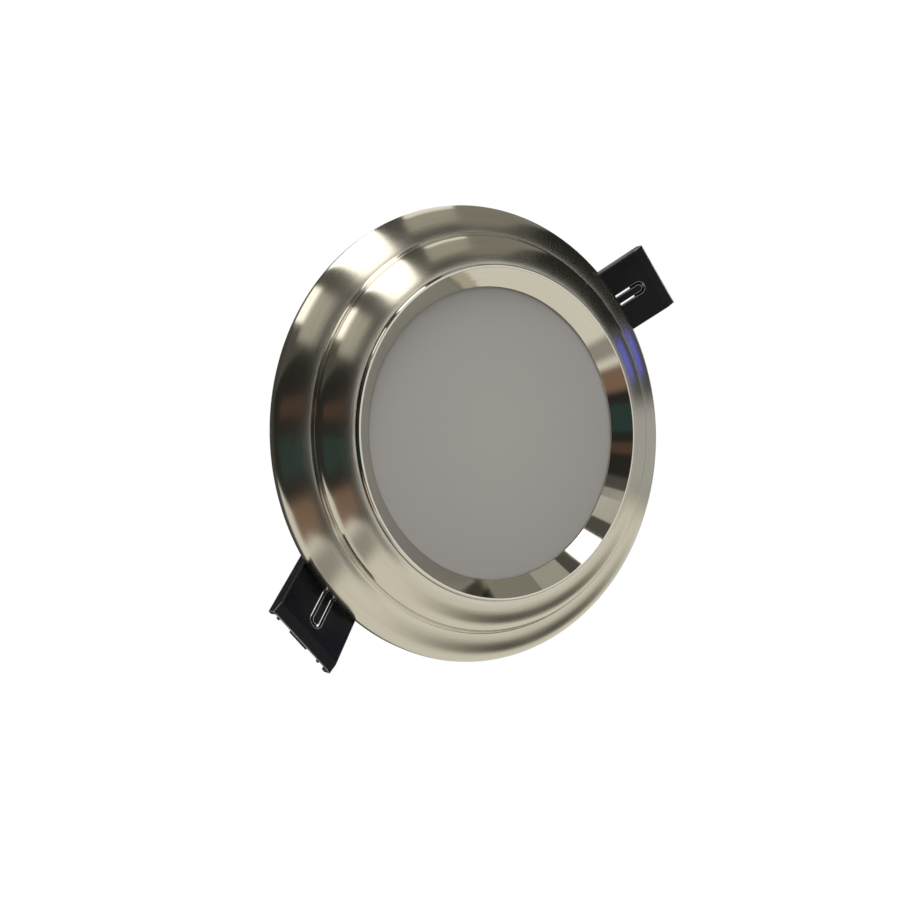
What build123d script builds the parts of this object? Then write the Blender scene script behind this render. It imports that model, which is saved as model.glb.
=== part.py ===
"""Recessed ceiling downlight with two sprung clips.

A two-tier trim ring faces the room and carries a polished bezel and a flat opal diffuser. Behind it
a finned die-cast body holds the light board at its front and the driver in a well at its back. Two
wire torsion springs in moulded sleeves clamp the ceiling from above.

Millimetres. +Z points up into the ceiling void and the light shines towards -Z. The origin is the
centre of the trim ring's back face, which lies on the ceiling at z = 0. The clips are on +X and -X
and hinge about axes along Y. They are drawn at rest, lying over the trim ring's rim.
"""

import os
from math import asin, atan2, cos, degrees, dist, hypot, radians, sin

from build123d import *

# Clearances
close_fit = 0.05
slip_fit = 0.3
rest_gap = 0.3

# Trim ring, its tiers counted outwards from the bezel
inner_tier_width = 9.95
inner_tier_rise = 4.7
ledge_width = 0.5
step_height = 0.9
outer_tier_width = 10.1
outer_tier_rise = 5.0
rim_land = 1.5
rim_width = 2.0
cutout_cover = 10.0
groove_width = 4.0
groove_depth = 1.5
land_inset = 0.5
pocket_depth = 3.2
deep_pocket_inset = 2.4
casting_wall = 2.6
neck_wall = 3.0
neck_height = 4.0
trim_rib_count = 12
trim_rib_thickness = 1.6
trim_rib_drop = 0.6

# Bezel
window_radius = 45.9
bezel_lip_width = 2.8
bezel_seat_width = 3.2
bezel_stand = 1.05
bezel_rim_width = 1.0
bezel_rim_round = 0.5
bezel_lip = 0.8
cone_depth = 5.25

# Diffuser, gasket and reflector
diffuser_thickness = 2.0
gasket_width = 2.6
gasket_thickness = 1.0
reflector_wall = 1.2
reflector_inset = 0.5
reflector_taper = 5.6

# Light board
board_margin = 0.8
board_thickness = 1.6
thermal_pad_thickness = 0.5
chip_length = 3.5
chip_width = 2.8
chip_height = 0.8
chip_screw_space = 7.0
chip_ring_space = 14.0
inner_chip_count = 8
outer_chip_count = 16
board_screw_count = 3
board_screw_inset = 7.0

# Screws, all of one thread
screw_radius = 1.5
screw_head_radius = 2.75
screw_head_height = 2.0
screw_head_edge = 0.6
cross_length = 3.2
cross_width = 0.7
cross_depth = 1.0
trim_screw_length = 10.0
board_screw_length = 4.8
cover_screw_length = 11.0
bracket_screw_length = 5.5

# Heat sink
sink_pocket_space = 2.0
sink_pocket_depth = 4.0
sink_base_thickness = 4.0
sink_edge = 1.0
well_floor_rise = 2.0
well_radius = 29.0
core_wall = 2.5
fin_height = 24.0
fin_inset = 2.0
fin_thickness = 1.6
fins_per_side = 12
fin_arc = 124.0
fin_slope_width = 7.0
fin_slope_height = 6.0
lead_hole_radius = 5.0
ear_count = 4
ear_start_angle = 45.0
ear_thickness = 4.0
boss_radius = 3.4
boss_wall_overlap = 0.5
pad_inset = 2.0
pad_thickness = 3.0
pad_margin = 0.4
cover_screw_count = 3
cover_screw_start_angle = 90.0
cover_boss_space = 4.0

# Driver
liner_wall = 1.2
liner_rim_thickness = 1.0
liner_post_height = 4.0
liner_post_radius = 2.2
liner_post_count = 3
liner_post_inset = 5.5
driver_board_space = 1.0
driver_board_thickness = 1.6
part_edge_radius = 0.6
transformer_size = (15.0, 13.0, 11.0)
transformer_core_height = 8.0
transformer_place = (-9.0, -9.0)
bulk_capacitor_radius = 5.0
bulk_capacitor_height = 14.0
bulk_capacitor_place = (-16.0, 8.0)
film_capacitor_size = (13.0, 6.0, 10.0)
film_capacitor_place = (11.0, -12.0)
choke_radius = 4.5
choke_waist_radius = 3.0
choke_flange = 1.5
choke_height = 9.0
choke_place = (18.0, -2.0)
fuse_radius = 1.8
fuse_length = 9.0
fuse_place = (2.0, -20.5)
rectifier_size = (6.5, 5.0, 2.4)
rectifier_place = (3.0, -3.0)
control_chip_size = (5.0, 4.0, 1.6)
control_chip_place = (-3.5, 4.5)
terminal_block_size = (16.0, 9.0, 9.0)
terminal_block_place = (4.0, 16.0)
terminal_pitch = 5.0
terminal_count = 3
terminal_screw_radius = 1.6
terminal_screw_height = 1.2
terminal_entry_radius = 1.5
lead_radius = 0.7
lead_spacing = 4.0

# Driver cover
cover_flange_margin = 4.5
cover_flange_thickness = 2.6
cover_head_space = 0.25
cover_height = 12.0
cover_wall = 2.0
cover_edge = 0.6
cover_edge_radius = 3.0

# Cable gland
gland_thread_radius = 7.6
gland_hex_flats = 19.0
gland_hex_height = 4.5
gland_spigot_height = 7.0
gland_tail_length = 6.5
gland_bore_radius = 5.2
locknut_height = 3.5
cable_bore_radius = 3.2
seal_height = 7.5
nut_height = 11.0
nut_skirt_height = 6.0
nut_mouth_radius = 4.3
nut_nose_radius = 6.2

# Clip
pivot_offset = 7.0
pivot_height = 20.4
pin_radius = 2.0
pin_head_radius = 3.0
pin_head_height = 1.0
wire_radius = 0.75
coil_turn_count = 2
coil_pitch = 2.4
leg_angle_lean = 14.0
bridge_bend = 3.0
sheet = 1.2
ear_radius = 4.4
ear_side_gap = 0.5
bracket_low = 12.6
bracket_high = 33.0
bracket_screw_inset = 3.6
sleeve_width = 24.4
sleeve_depth = 4.2
sleeve_start = 8.0
sleeve_tip = 44.5
sleeve_floor = 1.4
sleeve_wall = 1.1
sleeve_edge_radius = 0.4
wire_floor_gap = 0.25
wire_side_gap = 0.3
rib_thickness = 0.9
bevel_length = 3.4
bevel_drop = 1.35
end_angle = 60.0
tongue_width = 2.5
tongue_slot = 1.0
tongue_start = 25.0
tongue_end = 37.4
hook_length = 2.6
hook_height = 1.2
stop_block_width = 7.0
strap_length = 5.5

# Heights of the stack, from the room upwards
outer_tier_z = -rim_land - outer_tier_rise
ledge_z = outer_tier_z - step_height
inner_tier_z = ledge_z - inner_tier_rise
bezel_front_z = inner_tier_z - bezel_stand
bezel_back_z = bezel_front_z + cone_depth + bezel_lip
deep_floor_z = bezel_back_z
diffuser_back_z = bezel_back_z + diffuser_thickness
gasket_back_z = diffuser_back_z + gasket_thickness
sink_seat_z = neck_height + sink_pocket_depth
board_back_z = sink_seat_z - thermal_pad_thickness
board_front_z = board_back_z - board_thickness
base_top_z = sink_seat_z + sink_base_thickness
well_floor_z = base_top_z + well_floor_rise
sink_top_z = base_top_z + fin_height
liner_floor_z = well_floor_z + liner_wall
driver_board_z = liner_floor_z + liner_post_height
parts_z = driver_board_z + driver_board_thickness
liner_top_z = sink_top_z + liner_rim_thickness
cover_top_z = sink_top_z + cover_height
gland_seat_z = cover_top_z + gland_hex_height
gland_top_z = gland_seat_z + gland_spigot_height
nut_low_z = gland_seat_z + slip_fit

# Radii that follow from the fits, from the window outwards
diffuser_radius = window_radius + bezel_lip_width
bezel_radius = diffuser_radius + bezel_seat_width
bezel_bore = bezel_radius + close_fit
inner_tier_radius = bezel_bore + inner_tier_width
step_radius = inner_tier_radius + ledge_width
trim_radius = step_radius + outer_tier_width
cutout_radius = trim_radius - cutout_cover
inner_land_radius = cutout_radius + land_inset
outer_land_radius = trim_radius - rim_width
groove_radius = outer_land_radius - groove_width
seat_bore = diffuser_radius + slip_fit
neck_radius = seat_bore + neck_wall
boss_circle = neck_radius + boss_radius - boss_wall_overlap
screw_hole = screw_radius + close_fit
reflector_mouth_radius = diffuser_radius - gasket_width - reflector_inset
reflector_throat_radius = reflector_mouth_radius - reflector_taper
board_radius = reflector_throat_radius + reflector_wall + board_margin
board_screw_circle = board_radius - board_screw_inset
outer_chip_circle = board_screw_circle - chip_screw_space
inner_chip_circle = outer_chip_circle - chip_ring_space
sink_pocket_radius = board_radius + sink_pocket_space
fin_radius = neck_radius - fin_inset
pad_face = fin_radius - pad_inset
pivot_radius = pad_face + pivot_offset
core_radius = well_radius + core_wall
liner_radius = well_radius - slip_fit
driver_board_radius = liner_radius - liner_wall - driver_board_space
liner_post_circle = driver_board_radius - liner_post_inset
cover_screw_circle = core_radius + cover_boss_space
cover_flange_radius = cover_screw_circle + cover_flange_margin
cover_radius = cover_screw_circle - screw_head_radius - cover_head_space

# The trim ring is one casting. Each tier is a quarter ellipse, upright at its rim and flat at its top,
# and the back has a land round the cut-out, a land at the rim and a ribbed pocket inside the cut-out.
with BuildPart() as trim_ring:
    with BuildSketch(Plane.XZ):
        with BuildLine():
            deep_outer = inner_tier_radius - deep_pocket_inset
            deep_inner = bezel_bore + casting_wall
            Line((trim_radius, 0), (trim_radius, -rim_land))
            EllipticalCenterArc(
                (step_radius, -rim_land), outer_tier_width, outer_tier_rise, 270, arc_size=90
            )
            Polyline((step_radius, outer_tier_z), (step_radius, ledge_z), (inner_tier_radius, ledge_z))
            EllipticalCenterArc(
                (bezel_bore, ledge_z), inner_tier_width, inner_tier_rise, 270, arc_size=90
            )
            Polyline(
                (bezel_bore, inner_tier_z),
                (bezel_bore, bezel_back_z),
                (seat_bore, bezel_back_z),
                (seat_bore, neck_height),
                (neck_radius, neck_height),
                (neck_radius, -pocket_depth),
                (deep_inner, -pocket_depth),
                (deep_inner, deep_floor_z),
                (deep_outer, deep_floor_z),
                (deep_outer, -pocket_depth),
                (inner_land_radius, -pocket_depth),
                (inner_land_radius, 0),
                (groove_radius, 0),
                (groove_radius, -groove_depth),
                (outer_land_radius, -groove_depth),
                (outer_land_radius, 0),
                (trim_radius, 0),
            )
        make_face()
    revolve(axis=Axis.Z)
    rib_length = inner_land_radius - neck_radius
    with BuildSketch(Plane.XY.offset(-pocket_depth)):
        with PolarLocations(neck_radius + rib_length / 2, trim_rib_count, ear_start_angle):
            Rectangle(rib_length + 2 * close_fit, trim_rib_thickness)
    extrude(amount=pocket_depth - trim_rib_drop)
    deep_width = deep_outer - deep_inner
    with BuildSketch(Plane.XY.offset(deep_floor_z)):
        with PolarLocations(deep_inner + deep_width / 2, trim_rib_count, ear_start_angle):
            Rectangle(deep_width + 2 * close_fit, trim_rib_thickness)
    extrude(amount=-pocket_depth - deep_floor_z)
    with BuildSketch(Plane.XY.offset(deep_floor_z)):
        with PolarLocations(boss_circle, ear_count, ear_start_angle):
            Circle(boss_radius)
    extrude(amount=neck_height - deep_floor_z)
    with BuildSketch(Plane.XY.offset(neck_height)):
        with PolarLocations(boss_circle, ear_count, ear_start_angle):
            Circle(screw_hole)
    extrude(amount=ear_thickness - trim_screw_length - slip_fit, mode=Mode.SUBTRACT)

# The bezel is a turned ring pressed into the trim ring from the front. Its cone is the mirror round
# the diffuser, and its rounded rim stands proud of the inner tier.
with BuildPart() as bezel_ring:
    with BuildSketch(Plane.XZ):
        with BuildLine():
            round_start = (bezel_radius - bezel_rim_round, bezel_front_z)
            round_end = (bezel_radius, bezel_front_z + bezel_rim_round)
            Polyline(
                (window_radius, bezel_back_z),
                (window_radius, bezel_front_z + cone_depth),
                (bezel_radius - bezel_rim_width, bezel_front_z),
                round_start,
            )
            TangentArc(round_start, round_end, tangent=(1, 0))
            Polyline(round_end, (bezel_radius, bezel_back_z), (window_radius, bezel_back_z))
        make_face()
    revolve(axis=Axis.Z)

# The opal disc lies on the bezel's lip
with BuildPart() as diffuser:
    with BuildSketch(Plane.XY.offset(bezel_back_z)):
        Circle(diffuser_radius)
    extrude(amount=diffuser_thickness)

# A soft ring seals the disc against the reflector
with BuildPart() as diffuser_gasket:
    with BuildSketch(Plane.XY.offset(diffuser_back_z)):
        Circle(diffuser_radius)
        Circle(diffuser_radius - gasket_width, mode=Mode.SUBTRACT)
    extrude(amount=gasket_thickness)

# The white reflector is a flanged cone between the gasket and the light board
with BuildPart() as reflector_cup:
    with BuildSketch(Plane.XZ):
        with BuildLine():
            Polyline(
                (reflector_mouth_radius, gasket_back_z),
                (diffuser_radius, gasket_back_z),
                (diffuser_radius, gasket_back_z + reflector_wall),
                (reflector_mouth_radius + reflector_wall, gasket_back_z + reflector_wall),
                (reflector_throat_radius + reflector_wall, board_front_z),
                (reflector_throat_radius, board_front_z),
                close=True,
            )
        make_face()
    revolve(axis=Axis.Z)

# The light board is an aluminium disc with its screw holes and a hole for the leads
with BuildPart() as led_board:
    with BuildSketch(Plane.XY.offset(board_front_z)):
        Circle(board_radius)
        Circle(lead_hole_radius, mode=Mode.SUBTRACT)
        with PolarLocations(board_screw_circle, board_screw_count):
            Circle(screw_hole, mode=Mode.SUBTRACT)
    extrude(amount=board_thickness)

# The light chips stand on the board in rings
with BuildPart() as led_packages:
    with BuildSketch(Plane.XY.offset(board_front_z)):
        with PolarLocations(inner_chip_circle, inner_chip_count):
            Rectangle(chip_length, chip_width)
        with PolarLocations(outer_chip_circle, outer_chip_count):
            Rectangle(chip_length, chip_width)
    extrude(amount=-chip_height)

# A soft pad carries heat from the board to the heat sink
with BuildPart() as thermal_pad:
    with BuildSketch(Plane.XY.offset(board_back_z)):
        Circle(board_radius)
        Circle(lead_hole_radius, mode=Mode.SUBTRACT)
        with PolarLocations(board_screw_circle, board_screw_count):
            Circle(screw_hole, mode=Mode.SUBTRACT)
    extrude(amount=thermal_pad_thickness)

# The clip's pivot, its bracket and the tilt at which the sleeve lies 0.3 mm over the rim's back edge.
# Along the sleeve u runs outwards from the pivot, and v runs up and away from the room.
pivot = Vector(pivot_radius, 0, pivot_height)
coil_radius = pin_radius + slip_fit + wire_radius
arm_v = -coil_radius
floor_v = arm_v - wire_radius - wire_floor_gap
face_v = floor_v - sleeve_floor
back_v = face_v + sleeve_depth
rim_reach = trim_radius - pivot_radius
rest_tilt = degrees(
    atan2(pivot_height, rim_reach) + asin((face_v - rest_gap) / hypot(rim_reach, pivot_height))
)
along = Vector(cos(radians(rest_tilt)), 0, -sin(radians(rest_tilt)))
above = Vector(sin(radians(rest_tilt)), 0, cos(radians(rest_tilt)))
sleeve_side = Plane(origin=pivot, x_dir=along, z_dir=(0, -1, 0))
sleeve_floor_plane = Plane(origin=pivot + above * face_v, x_dir=along, z_dir=above)
arm_spread = sleeve_width / 2 - sleeve_wall - wire_side_gap - wire_radius
ear_inner = sleeve_width / 2 + ear_side_gap
bracket_half_width = ear_inner + sheet
plate_face = pad_face + sheet
bracket_screw_heights = (bracket_low + bracket_screw_inset, bracket_high - bracket_screw_inset)

# The heat sink is one casting: a base that closes the trim ring's neck, a round well for the driver,
# radial fins on both sides of the clips and a flat pad on two webs behind each clip.
with BuildPart() as heat_sink:
    with BuildSketch(Plane.XY.offset(neck_height)):
        Circle(neck_radius)
    extrude(amount=base_top_z - neck_height)
    chamfer(heat_sink.edges().group_by(Axis.Z)[-1], sink_edge)
    with BuildSketch(Plane.XY.offset(neck_height)):
        with PolarLocations(boss_circle, ear_count, ear_start_angle):
            Circle(boss_radius)
    extrude(amount=ear_thickness)
    with BuildSketch(Plane.XY.offset(base_top_z)):
        Circle(core_radius)
        fin_length = fin_radius - well_radius - core_wall / 2
        for side_angle in (90, 270):
            with PolarLocations(
                fin_radius - fin_length / 2,
                fins_per_side,
                side_angle - fin_arc / 2,
                fin_arc,
                endpoint=True,
            ):
                Rectangle(fin_length, fin_thickness)
    extrude(amount=fin_height)
    with BuildSketch(Plane.XZ):
        with BuildLine():
            Polyline(
                (fin_radius + slip_fit, sink_top_z - fin_slope_height),
                (fin_radius + slip_fit, sink_top_z + slip_fit),
                (fin_radius - fin_slope_width, sink_top_z + slip_fit),
                close=True,
            )
        make_face()
    revolve(axis=Axis.Z, mode=Mode.SUBTRACT)
    with BuildSketch(Plane.XY.offset(base_top_z)):
        with PolarLocations(cover_screw_circle, cover_screw_count, cover_screw_start_angle):
            Circle(boss_radius)
    extrude(amount=fin_height)
    pad_half_width = bracket_half_width + pad_margin
    with BuildSketch(Plane.XY.offset(base_top_z)):
        with PolarLocations(pad_face - pad_thickness / 2, 2):
            Rectangle(pad_thickness, 2 * pad_half_width)
        web_root = core_radius * cos(asin(pad_half_width / core_radius)) - core_wall / 2
        web_length = pad_face - web_root
        for web_side in (-1, 1):
            with Locations((0, web_side * (pad_half_width - fin_thickness / 2))):
                with PolarLocations(pad_face - web_length / 2, 2):
                    Rectangle(web_length, fin_thickness)
    extrude(amount=bracket_high + pad_margin - base_top_z)
    with BuildSketch(Plane.XY.offset(neck_height)):
        Circle(sink_pocket_radius)
    extrude(amount=sink_pocket_depth, mode=Mode.SUBTRACT)
    with BuildSketch(Plane.XY.offset(well_floor_z)):
        Circle(well_radius)
    extrude(amount=sink_top_z - well_floor_z, mode=Mode.SUBTRACT)
    with BuildSketch(Plane.XY.offset(sink_seat_z)):
        Circle(lead_hole_radius)
    extrude(amount=well_floor_z - sink_seat_z, mode=Mode.SUBTRACT)
    with BuildSketch(Plane.XY.offset(board_front_z)):
        with PolarLocations(board_screw_circle, board_screw_count):
            Circle(screw_hole)
    extrude(amount=board_screw_length + slip_fit, mode=Mode.SUBTRACT)
    with BuildSketch(Plane.XY.offset(neck_height)):
        with PolarLocations(boss_circle, ear_count, ear_start_angle):
            Circle(screw_hole)
    extrude(amount=ear_thickness, mode=Mode.SUBTRACT)
    with BuildSketch(Plane.XY.offset(sink_top_z)):
        with PolarLocations(cover_screw_circle, cover_screw_count, cover_screw_start_angle):
            Circle(screw_hole)
    extrude(amount=cover_flange_thickness - cover_screw_length - slip_fit, mode=Mode.SUBTRACT)
    with BuildSketch(Plane.YZ.offset(-pad_face)):
        with Locations(*((0, height) for height in bracket_screw_heights)):
            Circle(screw_hole)
    extrude(amount=pad_thickness, mode=Mode.SUBTRACT)
    with BuildSketch(Plane.YZ.offset(pad_face)):
        with Locations(*((0, height) for height in bracket_screw_heights)):
            Circle(screw_hole)
    extrude(amount=-pad_thickness, mode=Mode.SUBTRACT)


def pan_head_screw(length):
    """One cross-head screw at each current place, with its head above the place and its shank below."""
    rim_height = screw_head_height - screw_head_edge
    Cylinder(screw_head_radius, rim_height, align=(Align.CENTER, Align.CENTER, Align.MIN))
    with Locations((0, 0, rim_height)):
        Cone(
            screw_head_radius,
            screw_head_radius - screw_head_edge,
            screw_head_edge,
            align=(Align.CENTER, Align.CENTER, Align.MIN),
        )
    with Locations((0, 0, screw_head_height)):
        for length_x, length_y in ((cross_length, cross_width), (cross_width, cross_length)):
            Box(
                length_x,
                length_y,
                cross_depth,
                align=(Align.CENTER, Align.CENTER, Align.MAX),
                mode=Mode.SUBTRACT,
            )
    Cylinder(screw_radius, length, align=(Align.CENTER, Align.CENTER, Align.MAX))


with BuildPart(Plane.XY.offset(neck_height + ear_thickness)) as trim_screws:
    with PolarLocations(boss_circle, ear_count, ear_start_angle):
        pan_head_screw(trim_screw_length)

with BuildPart(Plane(origin=(0, 0, board_front_z), x_dir=(1, 0, 0), z_dir=(0, 0, -1))) as board_screws:
    with PolarLocations(board_screw_circle, board_screw_count):
        pan_head_screw(board_screw_length)

# The driver's liner is a moulded cup with a rim on the well's edge and posts under the driver board
with BuildPart() as driver_liner:
    with BuildSketch(Plane.XY.offset(well_floor_z)):
        Circle(liner_radius)
    extrude(amount=liner_top_z - well_floor_z)
    with BuildSketch(Plane.XY.offset(sink_top_z)):
        Circle(core_radius)
    extrude(amount=liner_rim_thickness)
    with BuildSketch(Plane.XY.offset(liner_floor_z)):
        Circle(liner_radius - liner_wall)
    extrude(amount=liner_top_z - liner_floor_z, mode=Mode.SUBTRACT)
    with BuildSketch(Plane.XY.offset(liner_floor_z)):
        with PolarLocations(liner_post_circle, liner_post_count, cover_screw_start_angle):
            Circle(liner_post_radius)
    extrude(amount=liner_post_height)
    with BuildSketch(Plane.XY.offset(well_floor_z)):
        Circle(lead_hole_radius - slip_fit)
    extrude(amount=liner_wall, mode=Mode.SUBTRACT)

# The driver board carries the mains terminals, the filter, the rectifier and the transformer
with BuildPart() as driver_board:
    with BuildSketch(Plane.XY.offset(driver_board_z)):
        Circle(driver_board_radius)
    extrude(amount=driver_board_thickness)

with BuildPart(Plane.XY.offset(parts_z)) as transformer:
    core_length, core_depth, transformer_height = transformer_size
    winding_gap = (transformer_height - transformer_core_height) / 2
    with Locations(transformer_place):
        Box(
            core_length,
            core_depth,
            transformer_height,
            align=(Align.CENTER, Align.CENTER, Align.MIN),
        )
        with Locations((0, 0, transformer_height / 2)):
            for end in (-1, 1):
                with Locations((end * core_length / 2, 0, 0)):
                    Box(2 * winding_gap, core_depth, transformer_core_height, mode=Mode.SUBTRACT)

with BuildPart(Plane.XY.offset(parts_z)) as bulk_capacitor:
    with Locations(bulk_capacitor_place):
        Cylinder(
            bulk_capacitor_radius,
            bulk_capacitor_height,
            align=(Align.CENTER, Align.CENTER, Align.MIN),
        )
    fillet(bulk_capacitor.edges().group_by(Axis.Z)[-1], part_edge_radius)

with BuildPart(Plane.XY.offset(parts_z)) as film_capacitor:
    with Locations(film_capacitor_place):
        Box(*film_capacitor_size, align=(Align.CENTER, Align.CENTER, Align.MIN))
    fillet(film_capacitor.edges().group_by(Axis.Z)[-1], part_edge_radius)

with BuildPart(Plane.XY.offset(parts_z)) as filter_choke:
    with Locations(choke_place):
        Cylinder(choke_radius, choke_height, align=(Align.CENTER, Align.CENTER, Align.MIN))
        with Locations((0, 0, choke_flange)):
            Cylinder(
                choke_radius,
                choke_height - 2 * choke_flange,
                align=(Align.CENTER, Align.CENTER, Align.MIN),
                mode=Mode.SUBTRACT,
            )
            Cylinder(
                choke_waist_radius,
                choke_height - 2 * choke_flange,
                align=(Align.CENTER, Align.CENTER, Align.MIN),
            )

with BuildPart(Plane.XY.offset(parts_z)) as fuse_resistor:
    with Locations((*fuse_place, fuse_radius)):
        Cylinder(fuse_radius, fuse_length, rotation=(0, 90, 0))

with BuildPart(Plane.XY.offset(parts_z)) as bridge_rectifier:
    with Locations(rectifier_place):
        Box(*rectifier_size, align=(Align.CENTER, Align.CENTER, Align.MIN))

with BuildPart(Plane.XY.offset(parts_z)) as control_chip:
    with Locations(control_chip_place):
        Box(*control_chip_size, align=(Align.CENTER, Align.CENTER, Align.MIN))

with BuildPart(Plane.XY.offset(parts_z)) as terminal_block:
    block_length, block_depth, block_height = terminal_block_size
    with Locations(terminal_block_place):
        Box(block_length, block_depth, block_height, align=(Align.CENTER, Align.CENTER, Align.MIN))
        with GridLocations(terminal_pitch, 1, terminal_count, 1):
            with Locations((0, 0, block_height)):
                Hole(terminal_screw_radius + close_fit, terminal_screw_height)
            with Locations((0, -block_depth / 2, block_height / 3)):
                Cylinder(
                    terminal_entry_radius,
                    block_depth,
                    rotation=(90, 0, 0),
                    mode=Mode.SUBTRACT,
                )

with BuildPart(Plane.XY.offset(parts_z + terminal_block_size[2])) as terminal_screws:
    with Locations(terminal_block_place):
        with GridLocations(terminal_pitch, 1, terminal_count, 1):
            Cylinder(
                terminal_screw_radius,
                terminal_screw_height,
                align=(Align.CENTER, Align.CENTER, Align.MAX),
            )

# Two stiff leads run straight from the light board up to the driver board
with BuildPart() as output_leads:
    with BuildSketch(Plane.XY.offset(board_front_z)):
        with GridLocations(lead_spacing, 1, 2, 1):
            Circle(lead_radius)
    extrude(amount=driver_board_z - board_front_z)

# The driver cover is a moulded cap with a screwed flange. It holds the liner's rim down.
with BuildPart() as driver_cover:
    with BuildSketch(Plane.XY.offset(sink_top_z)):
        Circle(cover_flange_radius)
    extrude(amount=cover_flange_thickness)
    chamfer(driver_cover.edges().group_by(Axis.Z)[-1], cover_edge)
    with BuildSketch(Plane.XY.offset(sink_top_z)):
        Circle(cover_radius)
    extrude(amount=cover_height)
    fillet(driver_cover.edges().group_by(Axis.Z)[-1], cover_edge_radius)
    with BuildSketch(Plane.XY.offset(sink_top_z)):
        Circle(cover_radius - cover_wall)
    extrude(amount=cover_height - cover_wall, mode=Mode.SUBTRACT)
    with BuildSketch(Plane.XY.offset(sink_top_z)):
        Circle(core_radius + slip_fit)
    extrude(amount=liner_rim_thickness, mode=Mode.SUBTRACT)
    with BuildSketch(Plane.XY.offset(sink_top_z)):
        Circle(gland_thread_radius + close_fit)
        with PolarLocations(cover_screw_circle, cover_screw_count, cover_screw_start_angle):
            Circle(screw_hole)
    extrude(amount=cover_height, mode=Mode.SUBTRACT)

with BuildPart(Plane.XY.offset(sink_top_z + cover_flange_thickness)) as cover_screws:
    with PolarLocations(cover_screw_circle, cover_screw_count, cover_screw_start_angle):
        pan_head_screw(cover_screw_length)

# The cable gland: a threaded body through the cover, a lock nut inside, a rubber seal and a dome nut
with BuildPart() as gland_body:
    with BuildSketch(Plane.XY.offset(cover_top_z)):
        RegularPolygon(gland_hex_flats / 2, 6, major_radius=False)
    extrude(amount=gland_hex_height)
    with BuildSketch(Plane.XY.offset(cover_top_z - gland_tail_length)):
        Circle(gland_thread_radius)
    extrude(amount=gland_top_z - cover_top_z + gland_tail_length)
    with BuildSketch(Plane.XY.offset(cover_top_z - gland_tail_length)):
        Circle(gland_bore_radius)
    extrude(amount=gland_top_z - cover_top_z + gland_tail_length, mode=Mode.SUBTRACT)

with BuildPart() as gland_locknut:
    with BuildSketch(Plane.XY.offset(cover_top_z - cover_wall)):
        RegularPolygon(gland_hex_flats / 2, 6, major_radius=False)
        Circle(gland_thread_radius + close_fit, mode=Mode.SUBTRACT)
    extrude(amount=-locknut_height)

with BuildPart() as gland_seal:
    with BuildSketch(Plane.XY.offset(gland_top_z - seal_height)):
        Circle(gland_bore_radius - close_fit)
        Circle(cable_bore_radius, mode=Mode.SUBTRACT)
    extrude(amount=seal_height)

with BuildPart() as gland_nut:
    with BuildSketch(Plane.XY.offset(nut_low_z)):
        RegularPolygon(gland_hex_flats / 2, 6, major_radius=False)
    extrude(amount=nut_skirt_height)
    with BuildSketch(Plane.XZ):
        with BuildLine():
            nose_low_z = nut_low_z + nut_skirt_height
            nose_top_z = nut_low_z + nut_height
            Polyline((0, nose_low_z), (gland_hex_flats / 2, nose_low_z))
            EllipticalCenterArc(
                (nut_nose_radius, nose_low_z),
                gland_hex_flats / 2 - nut_nose_radius,
                nose_top_z - nose_low_z,
                arc_size=90,
            )
            Polyline((nut_nose_radius, nose_top_z), (0, nose_top_z), (0, nose_low_z))
        make_face()
    revolve(axis=Axis.Z)
    with BuildSketch(Plane.XY.offset(nut_low_z)):
        Circle(gland_thread_radius + close_fit)
    extrude(amount=gland_top_z + close_fit - nut_low_z, mode=Mode.SUBTRACT)
    with BuildSketch(Plane.XY.offset(nut_low_z)):
        Circle(nut_mouth_radius)
    extrude(amount=nut_height, mode=Mode.SUBTRACT)

# The clip's bracket is folded from sheet: a back plate screwed to the pad and two ears for the pin
with BuildPart() as clip_bracket:
    with BuildSketch(Plane.YZ.offset(pad_face)):
        with Locations((0, (bracket_low + bracket_high) / 2)):
            Rectangle(2 * bracket_half_width, bracket_high - bracket_low)
        with Locations(*((0, height) for height in bracket_screw_heights)):
            Circle(screw_hole, mode=Mode.SUBTRACT)
    extrude(amount=sheet)
    for ear_side in (-1, 1):
        with BuildSketch(Plane.XZ.offset(-ear_side * (ear_inner + sheet / 2))):
            with Locations(((pad_face + pivot_radius) / 2, pivot_height)):
                Rectangle(pivot_radius - pad_face, 2 * ear_radius)
            with Locations((pivot_radius, pivot_height)):
                Circle(ear_radius)
                Circle(pin_radius + close_fit, mode=Mode.SUBTRACT)
        extrude(amount=sheet / 2, both=True)

with BuildPart(Plane(origin=(plate_face, 0, 0), x_dir=(0, 1, 0), z_dir=(1, 0, 0))) as bracket_screws:
    with Locations(*((0, height, 0) for height in bracket_screw_heights)):
        pan_head_screw(bracket_screw_length)

# The pin is a rivet, headed over outside both ears
with BuildPart(Plane(origin=pivot, x_dir=(1, 0, 0), z_dir=(0, 1, 0))) as pivot_pin:
    Cylinder(pin_radius, 2 * bracket_half_width)
    with Locations(*((0, 0, side * (bracket_half_width + pin_head_height / 2)) for side in (-1, 1))):
        Cylinder(pin_head_radius, pin_head_height)


def on_coil(angle, depth):
    """A point of the coil's centre line, by its angle about the pin and its place along the pin."""
    turned = Vector(cos(radians(angle)), 0, sin(radians(angle))) * coil_radius
    return pivot + turned + Vector(0, depth, 0)


def coil_direction(angle):
    """The way the wire runs there, from its leg round the pin to its arm."""
    return Vector(-sin(radians(angle)), 0, cos(radians(angle)))


bridge_u = tongue_end + slip_fit + wire_radius
arm_angle = 270 - rest_tilt
leg_angle = 180 + leg_angle_lean
leg_depth = arm_spread - coil_turn_count * coil_pitch
leg_away = -coil_direction(leg_angle)
leg_room = on_coil(leg_angle, 0).X - plate_face - wire_radius - rest_gap
leg_length = leg_room / -leg_away.X


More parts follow.
